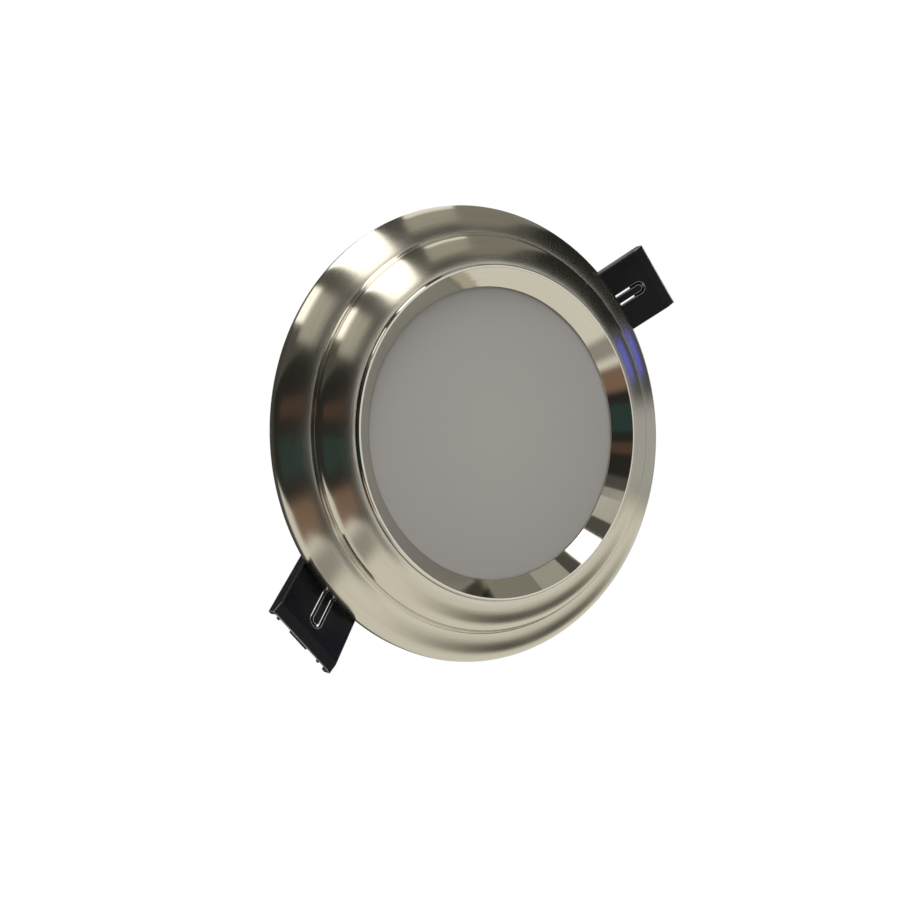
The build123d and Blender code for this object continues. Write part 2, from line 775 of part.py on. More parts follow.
def half_spring(side):
    """One coil with its leg and arm. Each half turn is two arcs and steps half a pitch along the pin."""
    leg_start = on_coil(leg_angle, side * leg_depth)
    Line(leg_start + leg_away * leg_length, leg_start)
    turn_start = on_coil(arm_angle, side * leg_depth)
    TangentArc(leg_start, turn_start, tangent=coil_direction(leg_angle))
    for half_turn in range(2 * coil_turn_count):
        start_angle = arm_angle + 180 * half_turn
        start = on_coil(start_angle, side * (leg_depth + half_turn * coil_pitch / 2))
        end = on_coil(start_angle + 180, side * (leg_depth + (half_turn + 1) * coil_pitch / 2))
        across = end - start
        middle = (start + end) * 0.5 + coil_direction(start_angle) * (across.length / 2)
        TangentArc(start, middle, tangent=coil_direction(start_angle))
        TangentArc(middle, end, tangent=across)
    arm_start = on_coil(arm_angle, side * arm_spread)
    arm_end = arm_start + along * (bridge_u - bridge_bend)
    Line(arm_start, arm_end)
    bend_end = arm_end + along * bridge_bend + Vector(0, -side * bridge_bend, 0)
    TangentArc(arm_end, bend_end, tangent=along)
    return bend_end


# The torsion spring is one wire: a leg against the back plate, a coil on the pin and an arm in the
# sleeve on each side, with a bridge across the arms' ends that snaps behind the sleeve's tongue.
with BuildPart() as torsion_spring:
    with BuildLine() as spring_line:
        bridge_ends = [half_spring(side) for side in (-1, 1)]
        Line(*bridge_ends)
    spring_wire = spring_line.wire()
    with BuildSketch(Plane(origin=spring_wire @ 0, z_dir=spring_wire % 0)):
        Circle(wire_radius)
    sweep(path=spring_wire)

gap_step = wire_radius
gap_count = int(spring_wire.length / gap_step)
half_turn_steps = int(coil_radius * radians(180) / gap_step)
gap_points = [tuple(spring_wire @ (number / gap_count)) for number in range(gap_count + 1)]
least_gap = min(
    dist(gap_points[first], gap_points[second])
    for first in range(gap_count + 1)
    for second in range(first + half_turn_steps, gap_count + 1)
)
print("spring's least gap to itself", round(least_gap - 2 * wire_radius, 2), "mm")
straight_volume = radians(180) * wire_radius**2 * spring_wire.length
print("spring volume over section times length", round(torsion_spring.part.volume / straight_volume, 4))

# The sleeve is a moulded trough, open at its back and both ends, that slips over the spring's arms.
# Its room side is flat with a bevelled tip, and a tongue freed by a U-shaped slot locks the bridge,
# which slides in under a short strap.
with BuildPart() as clip_sleeve:
    tip_v = face_v + bevel_drop
    back_end = sleeve_tip - (back_v - tip_v) / sin(radians(end_angle)) * cos(radians(end_angle))
    with BuildSketch(sleeve_side):
        with BuildLine():
            Polyline(
                (sleeve_start, face_v),
                (sleeve_tip - bevel_length, face_v),
                (sleeve_tip, tip_v),
                (back_end, back_v),
                (sleeve_start, back_v),
                close=True,
            )
        make_face()
    extrude(amount=sleeve_width / 2, both=True)
    long_edges = clip_sleeve.edges().filter_by(lambda edge: abs((edge % 0).dot(along)) > 0.999)
    fillet(long_edges, sleeve_edge_radius)
    inner_half_width = sleeve_width / 2 - sleeve_wall
    with BuildSketch(sleeve_floor_plane.offset(sleeve_floor)):
        with Locations(((sleeve_start + sleeve_tip) / 2, 0)):
            Rectangle(sleeve_tip - sleeve_start + 2 * slip_fit, 2 * inner_half_width)
    extrude(amount=sleeve_depth, mode=Mode.SUBTRACT)
    bridge_room = wire_radius + slip_fit
    rib_spread = 2 * (arm_spread - wire_radius - wire_side_gap) - rib_thickness
    rib_stop = bridge_u - bridge_bend - slip_fit
    end_start = bridge_u + bridge_room
    end_stop = back_end - sleeve_edge_radius
    with BuildSketch(sleeve_floor_plane.offset(sleeve_floor)):
        with Locations(((sleeve_start + rib_stop) / 2, 0)):
            with GridLocations(1, rib_spread, 1, 2):
                Rectangle(rib_stop - sleeve_start, rib_thickness)
        with Locations(((end_start + end_stop) / 2, 0)):
            Rectangle(end_stop - end_start, stop_block_width)
            with GridLocations(1, rib_spread, 1, 2):
                Rectangle(end_stop - end_start, rib_thickness)
    extrude(amount=sleeve_depth - sleeve_floor)
    strap_v = arm_v + wire_radius + slip_fit
    with BuildSketch(sleeve_floor_plane.offset(strap_v - face_v)):
        with Locations((end_start - strap_length / 2, 0)):
            Rectangle(strap_length + 2 * close_fit, stop_block_width)
    extrude(amount=back_v - strap_v)
    slot_half_width = tongue_width / 2 + tongue_slot
    slot_centre = tongue_end - tongue_width / 2
    with BuildSketch(sleeve_floor_plane):
        with Locations(((tongue_start + slot_centre) / 2, 0)):
            Rectangle(slot_centre - tongue_start, 2 * slot_half_width)
        with Locations((slot_centre, 0)):
            Circle(slot_half_width)
            Circle(tongue_width / 2, mode=Mode.SUBTRACT)
        with Locations(((tongue_start + slot_centre) / 2, 0)):
            Rectangle(slot_centre - tongue_start, tongue_width, mode=Mode.SUBTRACT)
    extrude(amount=sleeve_floor, mode=Mode.SUBTRACT)
    with BuildSketch(sleeve_side):
        with BuildLine():
            hook_back = tongue_end - tongue_width / 2 - slip_fit
            Polyline(
                (hook_back - hook_length, floor_v),
                (hook_back, floor_v),
                (hook_back, floor_v + hook_height),
                close=True,
            )
        make_face()
    extrude(amount=tongue_width / 2 - slip_fit, both=True)

pieces = {
    "trim_ring": trim_ring,
    "bezel_ring": bezel_ring,
    "diffuser": diffuser,
    "diffuser_gasket": diffuser_gasket,
    "reflector_cup": reflector_cup,
    "led_board": led_board,
    "led_packages": led_packages,
    "thermal_pad": thermal_pad,
    "heat_sink": heat_sink,
    "trim_screws": trim_screws,
    "board_screws": board_screws,
    "driver_liner": driver_liner,
    "driver_board": driver_board,
    "transformer": transformer,
    "bulk_capacitor": bulk_capacitor,
    "film_capacitor": film_capacitor,
    "filter_choke": filter_choke,
    "fuse_resistor": fuse_resistor,
    "bridge_rectifier": bridge_rectifier,
    "control_chip": control_chip,
    "terminal_block": terminal_block,
    "terminal_screws": terminal_screws,
    "output_leads": output_leads,
    "driver_cover": driver_cover,
    "cover_screws": cover_screws,
    "gland_body": gland_body,
    "gland_locknut": gland_locknut,
    "gland_seal": gland_seal,
    "gland_nut": gland_nut,
}
clip_pieces = {
    "clip_bracket": clip_bracket,
    "bracket_screws": bracket_screws,
    "pivot_pin": pivot_pin,
    "torsion_spring": torsion_spring,
    "clip_sleeve": clip_sleeve,
}

# The two clips are alike, half a turn apart about the lamp's axis
for clip_number, half_turns in ((1, 0), (2, 1)):
    for piece_name, piece in clip_pieces.items():
        with BuildPart() as placed:
            add(piece.part.rotate(Axis.Z, 180 * half_turns))
        pieces[f"{piece_name}_{clip_number}"] = placed

os.makedirs("parts", exist_ok=True)
for piece_name, piece in pieces.items():
    piece.part.label = piece_name
    export_step(piece.part, f"parts/{piece_name}.step")
print("rest tilt of the clips", round(rest_tilt, 2), "degrees")
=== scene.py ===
import math

import bmesh
import bpy
from mathutils import Matrix, Vector


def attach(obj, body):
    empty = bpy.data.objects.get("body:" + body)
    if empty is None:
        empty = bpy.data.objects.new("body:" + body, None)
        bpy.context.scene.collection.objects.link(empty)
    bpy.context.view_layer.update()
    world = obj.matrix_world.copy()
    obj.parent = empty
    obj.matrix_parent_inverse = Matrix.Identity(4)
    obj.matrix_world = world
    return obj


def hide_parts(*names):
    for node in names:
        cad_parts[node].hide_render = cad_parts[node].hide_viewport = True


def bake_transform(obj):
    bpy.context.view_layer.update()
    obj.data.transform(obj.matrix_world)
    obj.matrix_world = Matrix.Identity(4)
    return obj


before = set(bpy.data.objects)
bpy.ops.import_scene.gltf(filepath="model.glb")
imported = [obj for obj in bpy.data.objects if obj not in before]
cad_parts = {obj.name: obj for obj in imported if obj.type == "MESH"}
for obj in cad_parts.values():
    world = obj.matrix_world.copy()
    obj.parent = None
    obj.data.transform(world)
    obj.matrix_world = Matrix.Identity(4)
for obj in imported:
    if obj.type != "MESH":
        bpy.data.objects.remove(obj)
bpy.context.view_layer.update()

# Trim ring: one nickel-plated casting, turned on a lathe so that fine rings run round both domed tiers.
# Its back has a land that lies on the ceiling, a groove, a ribbed pocket and a neck under the body.
mm = 0.001
trim_back = [(72.5, 0.0, 0.2), (70.5, 0.0, 0.2), (70.5, -1.5, 0.2), (66.5, -1.5, 0.2), (66.5, 0.0, 0.2),
             (63.0, 0.0, 0.3), (63.0, -3.2, 0.4), (59.5, -3.2, 0.3), (59.5, -7.1, 0.5), (54.55, -7.1, 0.5),
             (54.55, -3.2, 0.3), (52.0, -3.2, 0.3), (52.0, 4.0, 0.2), (49.0, 4.0, 0.2), (49.0, -7.1, 0.1),
             (51.95, -7.1, 0.1), (51.95, -12.1, 0.12)]
inner_tier = ((51.95, -7.4), 9.95, 4.7)
outer_tier = ((62.4, -1.5), 10.1, 5.0)
ledge = [(62.4, -7.4, 0.1), (62.4, -6.5, 0.0)]


def tier(ellipse, steps=24):
    """Points along a tier's quarter ellipse, from its flat top outwards to its upright foot."""
    (middle_r, middle_z), width, rise = ellipse
    turns = [math.pi / 2 * step / steps for step in range(1, steps + 1)]
    return [(middle_r + width * math.sin(t), middle_z - rise * math.cos(t), 0.0) for t in turns]


def rounded(outline, steps=4):
    """A cut outline, anticlockwise with r to the right and z up, as points with their outward directions.
    Each corner that has a radius becomes a short arc."""
    points = []
    count = len(outline)
    for number, (r, z, radius) in enumerate(outline):
        here = Vector((r, z))
        before = (Vector(outline[number - 1][:2]) - here).normalized()
        after = (Vector(outline[(number + 1) % count][:2]) - here).normalized()
        side_before = Vector((-before.y, before.x))
        side_after = Vector((after.y, -after.x))
        if radius == 0.0:
            middle = Vector((0.0, math.copysign(1.0, side_before.y + side_after.y)))
            points.append((here, (side_before + side_after).normalized() if r else middle))
            continue
        half_bend = math.acos(max(-1.0, min(1.0, before.dot(after)))) / 2
        centre = here + (before + after).normalized() * (radius / math.sin(half_bend))
        outward = 1 if side_before.dot(after) < 0 else -1
        turn = side_before.angle(side_after)
        for step in range(steps + 1):
            share = step / steps
            arm = side_before * math.sin((1 - share) * turn) + side_after * math.sin(share * turn)
            arm = arm / math.sin(turn)
            points.append((centre + arm * (radius * outward), arm))
    return points


def in_scene(name, data):
    """An object at the origin with a mesh or other data, put into the scene."""
    made = bpy.data.objects.new(name, data)
    bpy.context.scene.collection.objects.link(made)
    return made


def turned(name, outline, finish, steps=256):
    """A piece turned about Z from its cut outline in millimetres, with a map along the cut and round it."""
    on_axis = 1e-6
    map_unit = 100
    points = rounded(outline)
    count = len(points)
    runs = [0.0]
    places, directions, rows, faces, maps = [], [], [], [], []
    for number, ((r, z), (out_r, out_z)) in enumerate(points):
        runs.append(runs[-1] + (points[(number + 1) % count][0] - points[number][0]).length)
        angles = [2 * math.pi * step / steps for step in range(steps if r > on_axis else 1)]
        rows.append([len(places) + step % len(angles) for step in range(steps)])
        places += [(r * math.cos(angle) * mm, r * math.sin(angle) * mm, z * mm) for angle in angles]
        directions += [(out_r * math.cos(angle), out_r * math.sin(angle), out_z) for angle in angles]
    for number in range(count):
        here, beyond = rows[number], rows[(number + 1) % count]
        for step in range(steps):
            low, high, after = step / steps, (step + 1) / steps, (step + 1) % steps
            corners = [(here[step], runs[number], low), (here[after], runs[number], high),
                       (beyond[after], runs[number + 1], high), (beyond[step], runs[number + 1], low)]
            corners = [c for place, c in enumerate(corners) if c[0] != corners[place - 1][0]]
            if len(corners) > 2:
                faces.append([c[0] for c in corners])
                maps += [value for c in corners for value in (c[1] / map_unit, c[2])]
    mesh = bpy.data.meshes.new(name)
    mesh.from_pydata(places, [], faces, shade_flat=False)
    mesh.uv_layers.new(name="turning").uv.foreach_set("vector", maps)
    mesh.normals_split_custom_set_from_vertices(directions)
    mesh.materials.append(finish)
    return in_scene(name, mesh)


def new_finish(name):
    """A new material with its node tree and its shader."""
    finish = bpy.data.materials.new(name)
    finish.use_nodes = True
    return finish, finish.node_tree, finish.node_tree.nodes["Principled BSDF"]


def wire(tree, kind, inputs, output=0, **settings):
    """Adds one node, fills its inputs with values or links, and returns one of its outputs."""
    made = tree.nodes.new(kind)
    for key, value in settings.items():
        setattr(made, key, value)
    for key, value in inputs.items():
        if isinstance(value, bpy.types.NodeSocket):
            tree.links.new(value, made.inputs[key])
        else:
            made.inputs[key].default_value = value
    return made.outputs[output]


def sum_of(tree, first, second, operation="ADD"):
    """One sum of two values inside a tree."""
    return wire(tree, "ShaderNodeMath", {0: first, 1: second}, operation=operation)


def vector_sum(tree, first, second, operation="ADD"):
    """One sum of two vectors inside a tree."""
    return wire(tree, "ShaderNodeVectorMath", {0: first, 1: second}, operation=operation)


def noise(tree, scale, detail, **more):
    """Noise all through a piece, by its own place in space."""
    spot = wire(tree, "ShaderNodeTexCoord", {}, "Object")
    return wire(tree, "ShaderNodeTexNoise", {"Vector": spot, "Scale": scale, "Detail": detail, **more})


def stretched(tree, value, low, high):
    """A noise value stretched to a range, from the spread that noise mostly has."""
    usual_low = 0.3
    usual_high = 0.7
    return wire(tree, "ShaderNodeMapRange", {"Value": value, "From Min": usual_low, "From Max": usual_high,
                                             "To Min": low, "To Max": high})


def tinted(tree, share, low, high):
    """A tint between two others by a share. Inputs 6 and 7 and output 2 of a mix are its colours."""
    ends = [end if isinstance(end, bpy.types.NodeSocket) else (*end, 1.0) for end in (low, high)]
    return wire(tree, "ShaderNodeMix", {"Factor": share, 6: ends[0], 7: ends[1]}, 2, data_type="RGBA")


def turning_lines(tree, across, around):
    """Noise in rings about Z, fine along the cut and long round the axis, without a seam where it closes."""
    cut = wire(tree, "ShaderNodeUVMap", {}, uv_map="turning")
    cut = wire(tree, "ShaderNodeSeparateXYZ", {"Vector": cut})
    spot = wire(tree, "ShaderNodeTexCoord", {}, "Object")
    flat = vector_sum(tree, spot, (1.0, 1.0, 0.0), "MULTIPLY")
    around_axis = wire(tree, "ShaderNodeVectorMath", {0: flat}, operation="NORMALIZE")
    slow = vector_sum(tree, around_axis, (around, around, 0.0), "MULTIPLY")
    lift = wire(tree, "ShaderNodeCombineXYZ", {"Z": sum_of(tree, cut, across, "MULTIPLY")})
    place = vector_sum(tree, slow, lift)
    return wire(tree, "ShaderNodeTexNoise",
                {"Vector": place, "Scale": 1.0, "Detail": 3.0, "Roughness": 0.6})


def coat(tree, shader, tint, rough, normal):
    """Links a tint, a roughness and a normal to a finish's shader."""
    for label, value in (("Base Color", tint), ("Roughness", rough), ("Normal", normal)):
        tree.links.new(value, shader.inputs[label])


def turned_metal(name, dark, bright, roughness, anisotropy, lean):
    """Metal with turning lines: tint and roughness follow them, and their flanks lean in and out."""
    finish, tree, shader = new_finish(name)
    fine = turning_lines(tree, across=1500.0, around=3.0)
    broad = turning_lines(tree, across=110.0, around=1.2)
    cloud = noise(tree, scale=45.0, detail=4.0)
    lines = stretched(tree, fine, roughness * 0.8, roughness * 1.2)
    patches = stretched(tree, cloud, -0.02, 0.03)
    tangent = wire(tree, "ShaderNodeTangent", {}, direction_type="UV_MAP", uv_map="turning")
    facing = wire(tree, "ShaderNodeNewGeometry", {}, "Normal")
    tilt = stretched(tree, fine, -lean, lean)
    flank = wire(tree, "ShaderNodeVectorMath", {0: tangent, "Scale": tilt}, operation="SCALE")
    leaning = vector_sum(tree, facing, flank)
    leaning = wire(tree, "ShaderNodeVectorMath", {0: leaning}, operation="NORMALIZE")
    coat(tree, shader, tinted(tree, broad, dark, bright), sum_of(tree, lines, patches), leaning)
    tree.links.new(tangent, shader.inputs["Tangent"])
    shader.inputs["Metallic"].default_value = 1.0
    shader.inputs["Anisotropic"].default_value = anisotropy
    return finish


def put(piece, body, slot, *nodes):
    """The piece moves with its body and stands for its solids, which are hidden. The finish's name given as
    slot is not used.
    """
    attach(piece, body)
    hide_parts(*nodes)


satin_nickel = turned_metal("satin_nickel", (0.56, 0.53, 0.45), (0.66, 0.625, 0.54),
                            roughness=0.16, anisotropy=0.86, lean=0.035)
trim = turned("trim_casting", trim_back + tier(inner_tier) + ledge + tier(outer_tier), satin_nickel)
put(trim, "lamp", "satin_nickel", "trim_ring")

# Ribs and screw bosses in the trim ring's back pocket, cast in one with it and left as they were moulded.
# Twelve ribs on two levels stiffen the pocket, and four bosses take the screws that hold the body.
rib_sizes = {"Count": 12, "Start": math.radians(15), "Inner radius": 51.9 * mm, "Outer radius": 63.1 * mm,
             "Thickness": 1.6 * mm, "Low": -3.3 * mm, "High": -0.6 * mm}
deep_rib_sizes = {**rib_sizes, "Inner radius": 54.45 * mm, "Outer radius": 59.6 * mm,
                  "Low": -7.2 * mm, "High": -3.2 * mm}
boss_sizes = {"Count": 4, "Start": math.radians(45), "Circle": 54.9 * mm, "Radius": 3.4 * mm,
              "Low": -7.2 * mm, "High": 4.0 * mm}
same_point = 0.001 * mm


def new_grower(name, sizes):
    """A geometry tree with inputs for the seats, each size and the finish, and those inputs' sockets."""
    tree = bpy.data.node_groups.new(name, "GeometryNodeTree")
    tree.interface.new_socket("Seats", in_out="INPUT", socket_type="NodeSocketGeometry")
    for label, value in sizes.items():
        kind = "NodeSocketInt" if isinstance(value, int) else "NodeSocketFloat"
        tree.interface.new_socket(label, in_out="INPUT", socket_type=kind)
    tree.interface.new_socket("Finish", in_out="INPUT", socket_type="NodeSocketMaterial")
    tree.interface.new_socket("Geometry", in_out="OUTPUT", socket_type="NodeSocketGeometry")
    return tree, tree.nodes.new("NodeGroupInput").outputs


def span(tree, low, high):
    """The length from a low size to a high one, and the middle between them."""
    length = sum_of(tree, high, low, "SUBTRACT")
    return length, sum_of(tree, sum_of(tree, high, low), 0.5, "MULTIPLY")


def moved(tree, shape, up, out=0.0):
    """A shape moved up along Z and out along X."""
    way = wire(tree, "ShaderNodeCombineXYZ", {"X": out, "Z": up})
    return wire(tree, "GeometryNodeTransform", {"Geometry": shape, "Translation": way})


def turned_by(tree, angle):
    """A turn about Z."""
    return wire(tree, "FunctionNodeEulerToRotation", {0: wire(tree, "ShaderNodeCombineXYZ", {"Z": angle})})


def copies_round_axis(tree, shape, count, start, step):
    """Copies of a shape round Z, from a start angle on by equal steps."""
    seats = wire(tree, "GeometryNodeMeshLine", {"Count": count, "Offset": (0.0, 0.0, 0.0)})
    number = wire(tree, "GeometryNodeInputIndex", {})
    turn = turned_by(tree, sum_of(tree, start, sum_of(tree, number, step, "MULTIPLY")))
    return wire(tree, "GeometryNodeInstanceOnPoints",
                {"Points": seats, "Instance": shape, "Rotation": turn})


def end_grower(tree, copies, finish):
    """The last nodes of a tree: real faces in place of copies, and their finish."""
    real = wire(tree, "GeometryNodeRealizeInstances", {0: copies})
    dressed = wire(tree, "GeometryNodeSetMaterial", {"Geometry": real, "Material": finish})
    tree.links.new(dressed, tree.nodes.new("NodeGroupOutput").inputs[0])


def real_mesh(piece):
    """The plain mesh that a piece's modifiers give. The modifiers are then removed."""
    now = piece.evaluated_get(bpy.context.evaluated_depsgraph_get())
    mesh = bpy.data.meshes.new_from_object(now)
    piece.modifiers.clear()
    return mesh


def plain(piece, edge, steps=2):
    """Makes a piece's modifiers real, merges its points, and eases its sharp edges by a small round."""
    sharp_bend = math.radians(30)
    mesh = real_mesh(piece)
    shape = bmesh.new()
    shape.from_mesh(mesh)
    bmesh.ops.remove_doubles(shape, verts=shape.verts, dist=same_point)
    for face in shape.faces:
        face.smooth = True
    for side in shape.edges:
        side.smooth = len(side.link_faces) == 2 and side.calc_face_angle(0.0) < sharp_bend
    shape.to_mesh(mesh)
    shape.free()
    piece.data = mesh
    if edge:
        ease = piece.modifiers.new("ease", "BEVEL")
        ease.width = edge
        ease.segments = steps
        ease.limit_method = "ANGLE"
        ease.angle_limit = sharp_bend
        ease.harden_normals = True
        piece.data = real_mesh(piece)
    return piece


def grown(name, tree, sizes, finish, seats=None, edge=0.0):
    """The plain mesh that a tree gives with these sizes, its long edges eased and its flats kept flat."""
    piece = in_scene(name, seats or bpy.data.meshes.new(name))
    modifier = piece.modifiers.new("grow", "NODES")
    modifier.node_group = tree
    sockets = {item.name: item.identifier for item in tree.interface.items_tree if item.in_out == "INPUT"}
    for label, value in sizes.items():
        modifier[sockets[label]] = value
    modifier[sockets["Finish"]] = finish
    return plain(piece, edge)


rib_tree, given = new_grower("trim_back_ribs", rib_sizes)
length, middle_r = span(rib_tree, given["Inner radius"], given["Outer radius"])
height, middle_z = span(rib_tree, given["Low"], given["High"])
block = wire(rib_tree, "ShaderNodeCombineXYZ", {"X": length, "Y": given["Thickness"], "Z": height})
block = wire(rib_tree, "GeometryNodeMeshCube", {"Size": block})
block = moved(rib_tree, block, middle_z, middle_r)
step = sum_of(rib_tree, 2 * math.pi, given["Count"], "DIVIDE")
all_ribs = copies_round_axis(rib_tree, block, given["Count"], given["Start"], step)
end_grower(rib_tree, all_ribs, given["Finish"])

boss_tree, given = new_grower("round_bosses", boss_sizes)
height, middle_z = span(boss_tree, given["Low"], given["High"])
post = wire(boss_tree, "GeometryNodeMeshCylinder",
            {"Vertices": 48, "Radius": given["Radius"], "Depth": height})
post = moved(boss_tree, post, middle_z, given["Circle"])
step = sum_of(boss_tree, 2 * math.pi, given["Count"], "DIVIDE")
all_bosses = copies_round_axis(boss_tree, post, given["Count"], given["Start"], step)
end_grower(boss_tree, all_bosses, given["Finish"])


def edge_wear_and_highlight(tree, start, most, marks, samples):
    """How far edges are lightened, as wear and as a painted edge highlight: where the surface bends within
    half a millimetre, and most on the marks.
    """
    soft = wire(tree, "ShaderNodeBevel", {"Radius": 0.5 * mm}, samples=samples)
    facing = wire(tree, "ShaderNodeNewGeometry", {}, "Normal")
    level = wire(tree, "ShaderNodeVectorMath", {0: soft, 1: facing}, "Value", operation="DOT_PRODUCT")
    worn = wire(tree, "ShaderNodeMapRange", {"Value": level, "From Min": start, "From Max": 0.90,
                                             "To Min": 0.0, "To Max": most})
    return sum_of(tree, worn, marks, "MULTIPLY")


def cast_metal(name, dark, bright, roughness, grain, depth):
    """Metal as it comes from a mould: fine pitted grain, slow flow marks and a brighter worn edge."""
    finish, tree, shader = new_finish(name)
    edge_gain = 1.35
    pits = noise(tree, scale=1 / grain, detail=3.0, Roughness=0.65)
    flow = noise(tree, scale=70.0, detail=5.0, Distortion=1.2)
    worn = edge_wear_and_highlight(tree, 0.985, 0.75, stretched(tree, flow, 0.2, 1.0), samples=6)
    tint = tinted(tree, stretched(tree, flow, 0.0, 1.0), dark, bright)
    tint = tinted(tree, worn, tint, [min(1.0, value * edge_gain) for value in bright])
    rough = stretched(tree, pits, roughness - 0.06, roughness + 0.08)
    rough = sum_of(tree, rough, sum_of(tree, worn, -0.12, "MULTIPLY"))
    bump = wire(tree, "ShaderNodeBump", {"Height": pits, "Strength": 0.35, "Distance": depth})
    coat(tree, shader, tint, rough, bump)
    shader.inputs["Metallic"].default_value = 1.0
    return finish


cast_nickel = cast_metal("cast_nickel", (0.46, 0.44, 0.38), (0.58, 0.55, 0.47),
                         roughness=0.42, grain=0.4 * mm, depth=0.03 * mm)
ribs = grown("trim_ribs", rib_tree, rib_sizes, cast_nickel, edge=0.2 * mm)
put(ribs, "lamp", "satin_nickel", "trim_ring")
deep_ribs = grown("trim_ribs_deep", rib_tree, deep_rib_sizes, cast_nickel, edge=0.2 * mm)
put(deep_ribs, "lamp", "satin_nickel", "trim_ring")
bosses = grown("trim_bosses", boss_tree, boss_sizes, cast_nickel, edge=0.25 * mm)
put(bosses, "lamp", "satin_nickel", "trim_ring")

# Bezel: a turned and polished ring, pressed into the trim ring from the front.
# Its cone is the mirror round the diffuser, and its rounded rim stands a little proud of the inner tier.
bezel_outline = [(51.9, -7.1, 0.1), (45.9, -7.1, 0.08), (45.9, -7.9, 0.12), (50.9, -13.15, 0.25),
                 (51.9, -13.15, 0.45)]
polished_nickel = turned_metal("polished_nickel", (0.60, 0.575, 0.50), (0.66, 0.63, 0.555),
                               roughness=0.05, anisotropy=0.3, lean=0.012)
bezel = turned("bezel_mirror", bezel_outline, polished_nickel)
put(bezel, "lamp", "polished_nickel", "bezel_ring")

# Diffuser: a flat disc of opal acrylic, 2 mm thick, held behind the bezel's lip.
# Its face has the faint orange-peel of pressed sheet and a faint random haze. Its tint is painted lighter in
# the middle and darker towards the rim, as painted shade where the bezel shades the disc's edge.
opal_outline = [(0.0, -5.1, 0.0), (0.0, -7.1, 0.0), (48.7, -7.1, 0.15), (48.7, -5.1, 0.15)]
painted_shade_radius = 48 * mm
opal_shaded_edge_tint = (0.335, 0.320, 0.302)
opal_lit_middle_tint = (0.375, 0.358, 0.330)
opal, tree, shader = new_finish("opal")
peel = noise(tree, scale=900.0, detail=2.0)
haze = noise(tree, scale=120.0, detail=3.0)
spot = wire(tree, "ShaderNodeTexCoord", {}, "Object")
off_axis = wire(tree, "ShaderNodeVectorMath", {0: spot}, "Value", operation="LENGTH")
# Painted shade: the tint runs from the lit middle tint on the axis to the shaded edge tint at the rim, with
# random haze on top.
depth = wire(tree, "ShaderNodeMapRange",
             {"Value": off_axis, "From Max": painted_shade_radius, "To Min": 0.9, "To Max": 0.1},
             interpolation_type="SMOOTHSTEP")
haze_and_painted_shade = wire(tree, "ShaderNodeMath", {0: haze, 1: 0.15, 2: depth}, operation="MULTIPLY_ADD")
bump = wire(tree, "ShaderNodeBump", {"Height": peel, "Strength": 0.12, "Distance": 0.01 * mm})
opal_tint = tinted(tree, haze_and_painted_shade, opal_shaded_edge_tint, opal_lit_middle_tint)
coat(tree, shader, opal_tint, stretched(tree, peel, 0.42, 0.52), bump)
shader.inputs["Specular IOR Level"].default_value = 0.2
diffuser = turned("opal_disc", opal_outline, opal, steps=192)
put(diffuser, "lamp", "opal", "diffuser")

# Light engine: a rubber gasket behind the diffuser, a white moulded reflector cup, and a white lacquered
# aluminium board with its light-emitting chips, screwed to the body over a soft thermal pad.
# Each row gives a finish's two tints, its roughness, its grain and depth in millimetres, and its solids.
light_parts = [
    ("white_reflector", (0.76, 0.76, 0.75), (0.84, 0.84, 0.83), 0.34, 0.6, 0.01, "reflector_cup"),
    ("light_board", (0.70, 0.71, 0.70), (0.78, 0.79, 0.78), 0.40, 0.8, 0.01, "led_board"),
    ("phosphor", (0.70, 0.56, 0.12), (0.80, 0.68, 0.20), 0.50, 0.3, 0.02, "led_packages"),
    ("thermal_pad", (0.40, 0.43, 0.50), (0.48, 0.51, 0.58), 0.72, 0.7, 0.03, "thermal_pad"),
]


def moulded(name, dark, bright, roughness, grain, depth, shine=0.4, wear_and_painted_highlight=0.01):
    """Moulded plastic or rubber: spark-eroded grain, slow gloss patches, and edges tinted brighter, as a
    little wear and as a painted edge highlight.
    """
    finish, tree, shader = new_finish(name)
    edge_gain = 1.9
    pits = noise(tree, scale=1 / grain, detail=2.0, Roughness=0.6)
    patch = noise(tree, scale=60.0, detail=4.0)
    worn = edge_wear_and_highlight(tree, 0.99, 0.9, stretched(tree, patch, 0.1, 1.0), samples=8)
    tint = tinted(tree, stretched(tree, patch, 0.0, 1.0), dark, bright)
    # Edges tinted brighter: a little wear, and on the black sleeves mostly a painted highlight for light
    # caught along their edges.
    tint = tinted(tree, worn, tint, [min(1.0, value * edge_gain + wear_and_painted_highlight) for value in bright])
    rough = stretched(tree, pits, roughness - 0.05, roughness + 0.05)
    rough = sum_of(tree, rough, stretched(tree, patch, -0.04, 0.05))
    bump = wire(tree, "ShaderNodeBump", {"Height": pits, "Strength": 0.3, "Distance": depth})
    coat(tree, shader, tint, rough, bump)
    shader.inputs["Specular IOR Level"].default_value = shine
    return finish


def dress(finish, *nodes):
    """Solids that keep their own shape get a finish."""
    for node in nodes:
        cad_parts[node].data.materials.clear()
        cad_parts[node].data.materials.append(finish)


seal_rubber = moulded("grey_rubber", (0.060, 0.060, 0.062), (0.085, 0.085, 0.088),
                      roughness=0.66, grain=0.5 * mm, depth=0.04 * mm)
dress(seal_rubber, "diffuser_gasket")
for name, dark, bright, roughness, grain, depth, *nodes in light_parts:
    dress(moulded(name, dark, bright, roughness, grain * mm, depth * mm), *nodes)

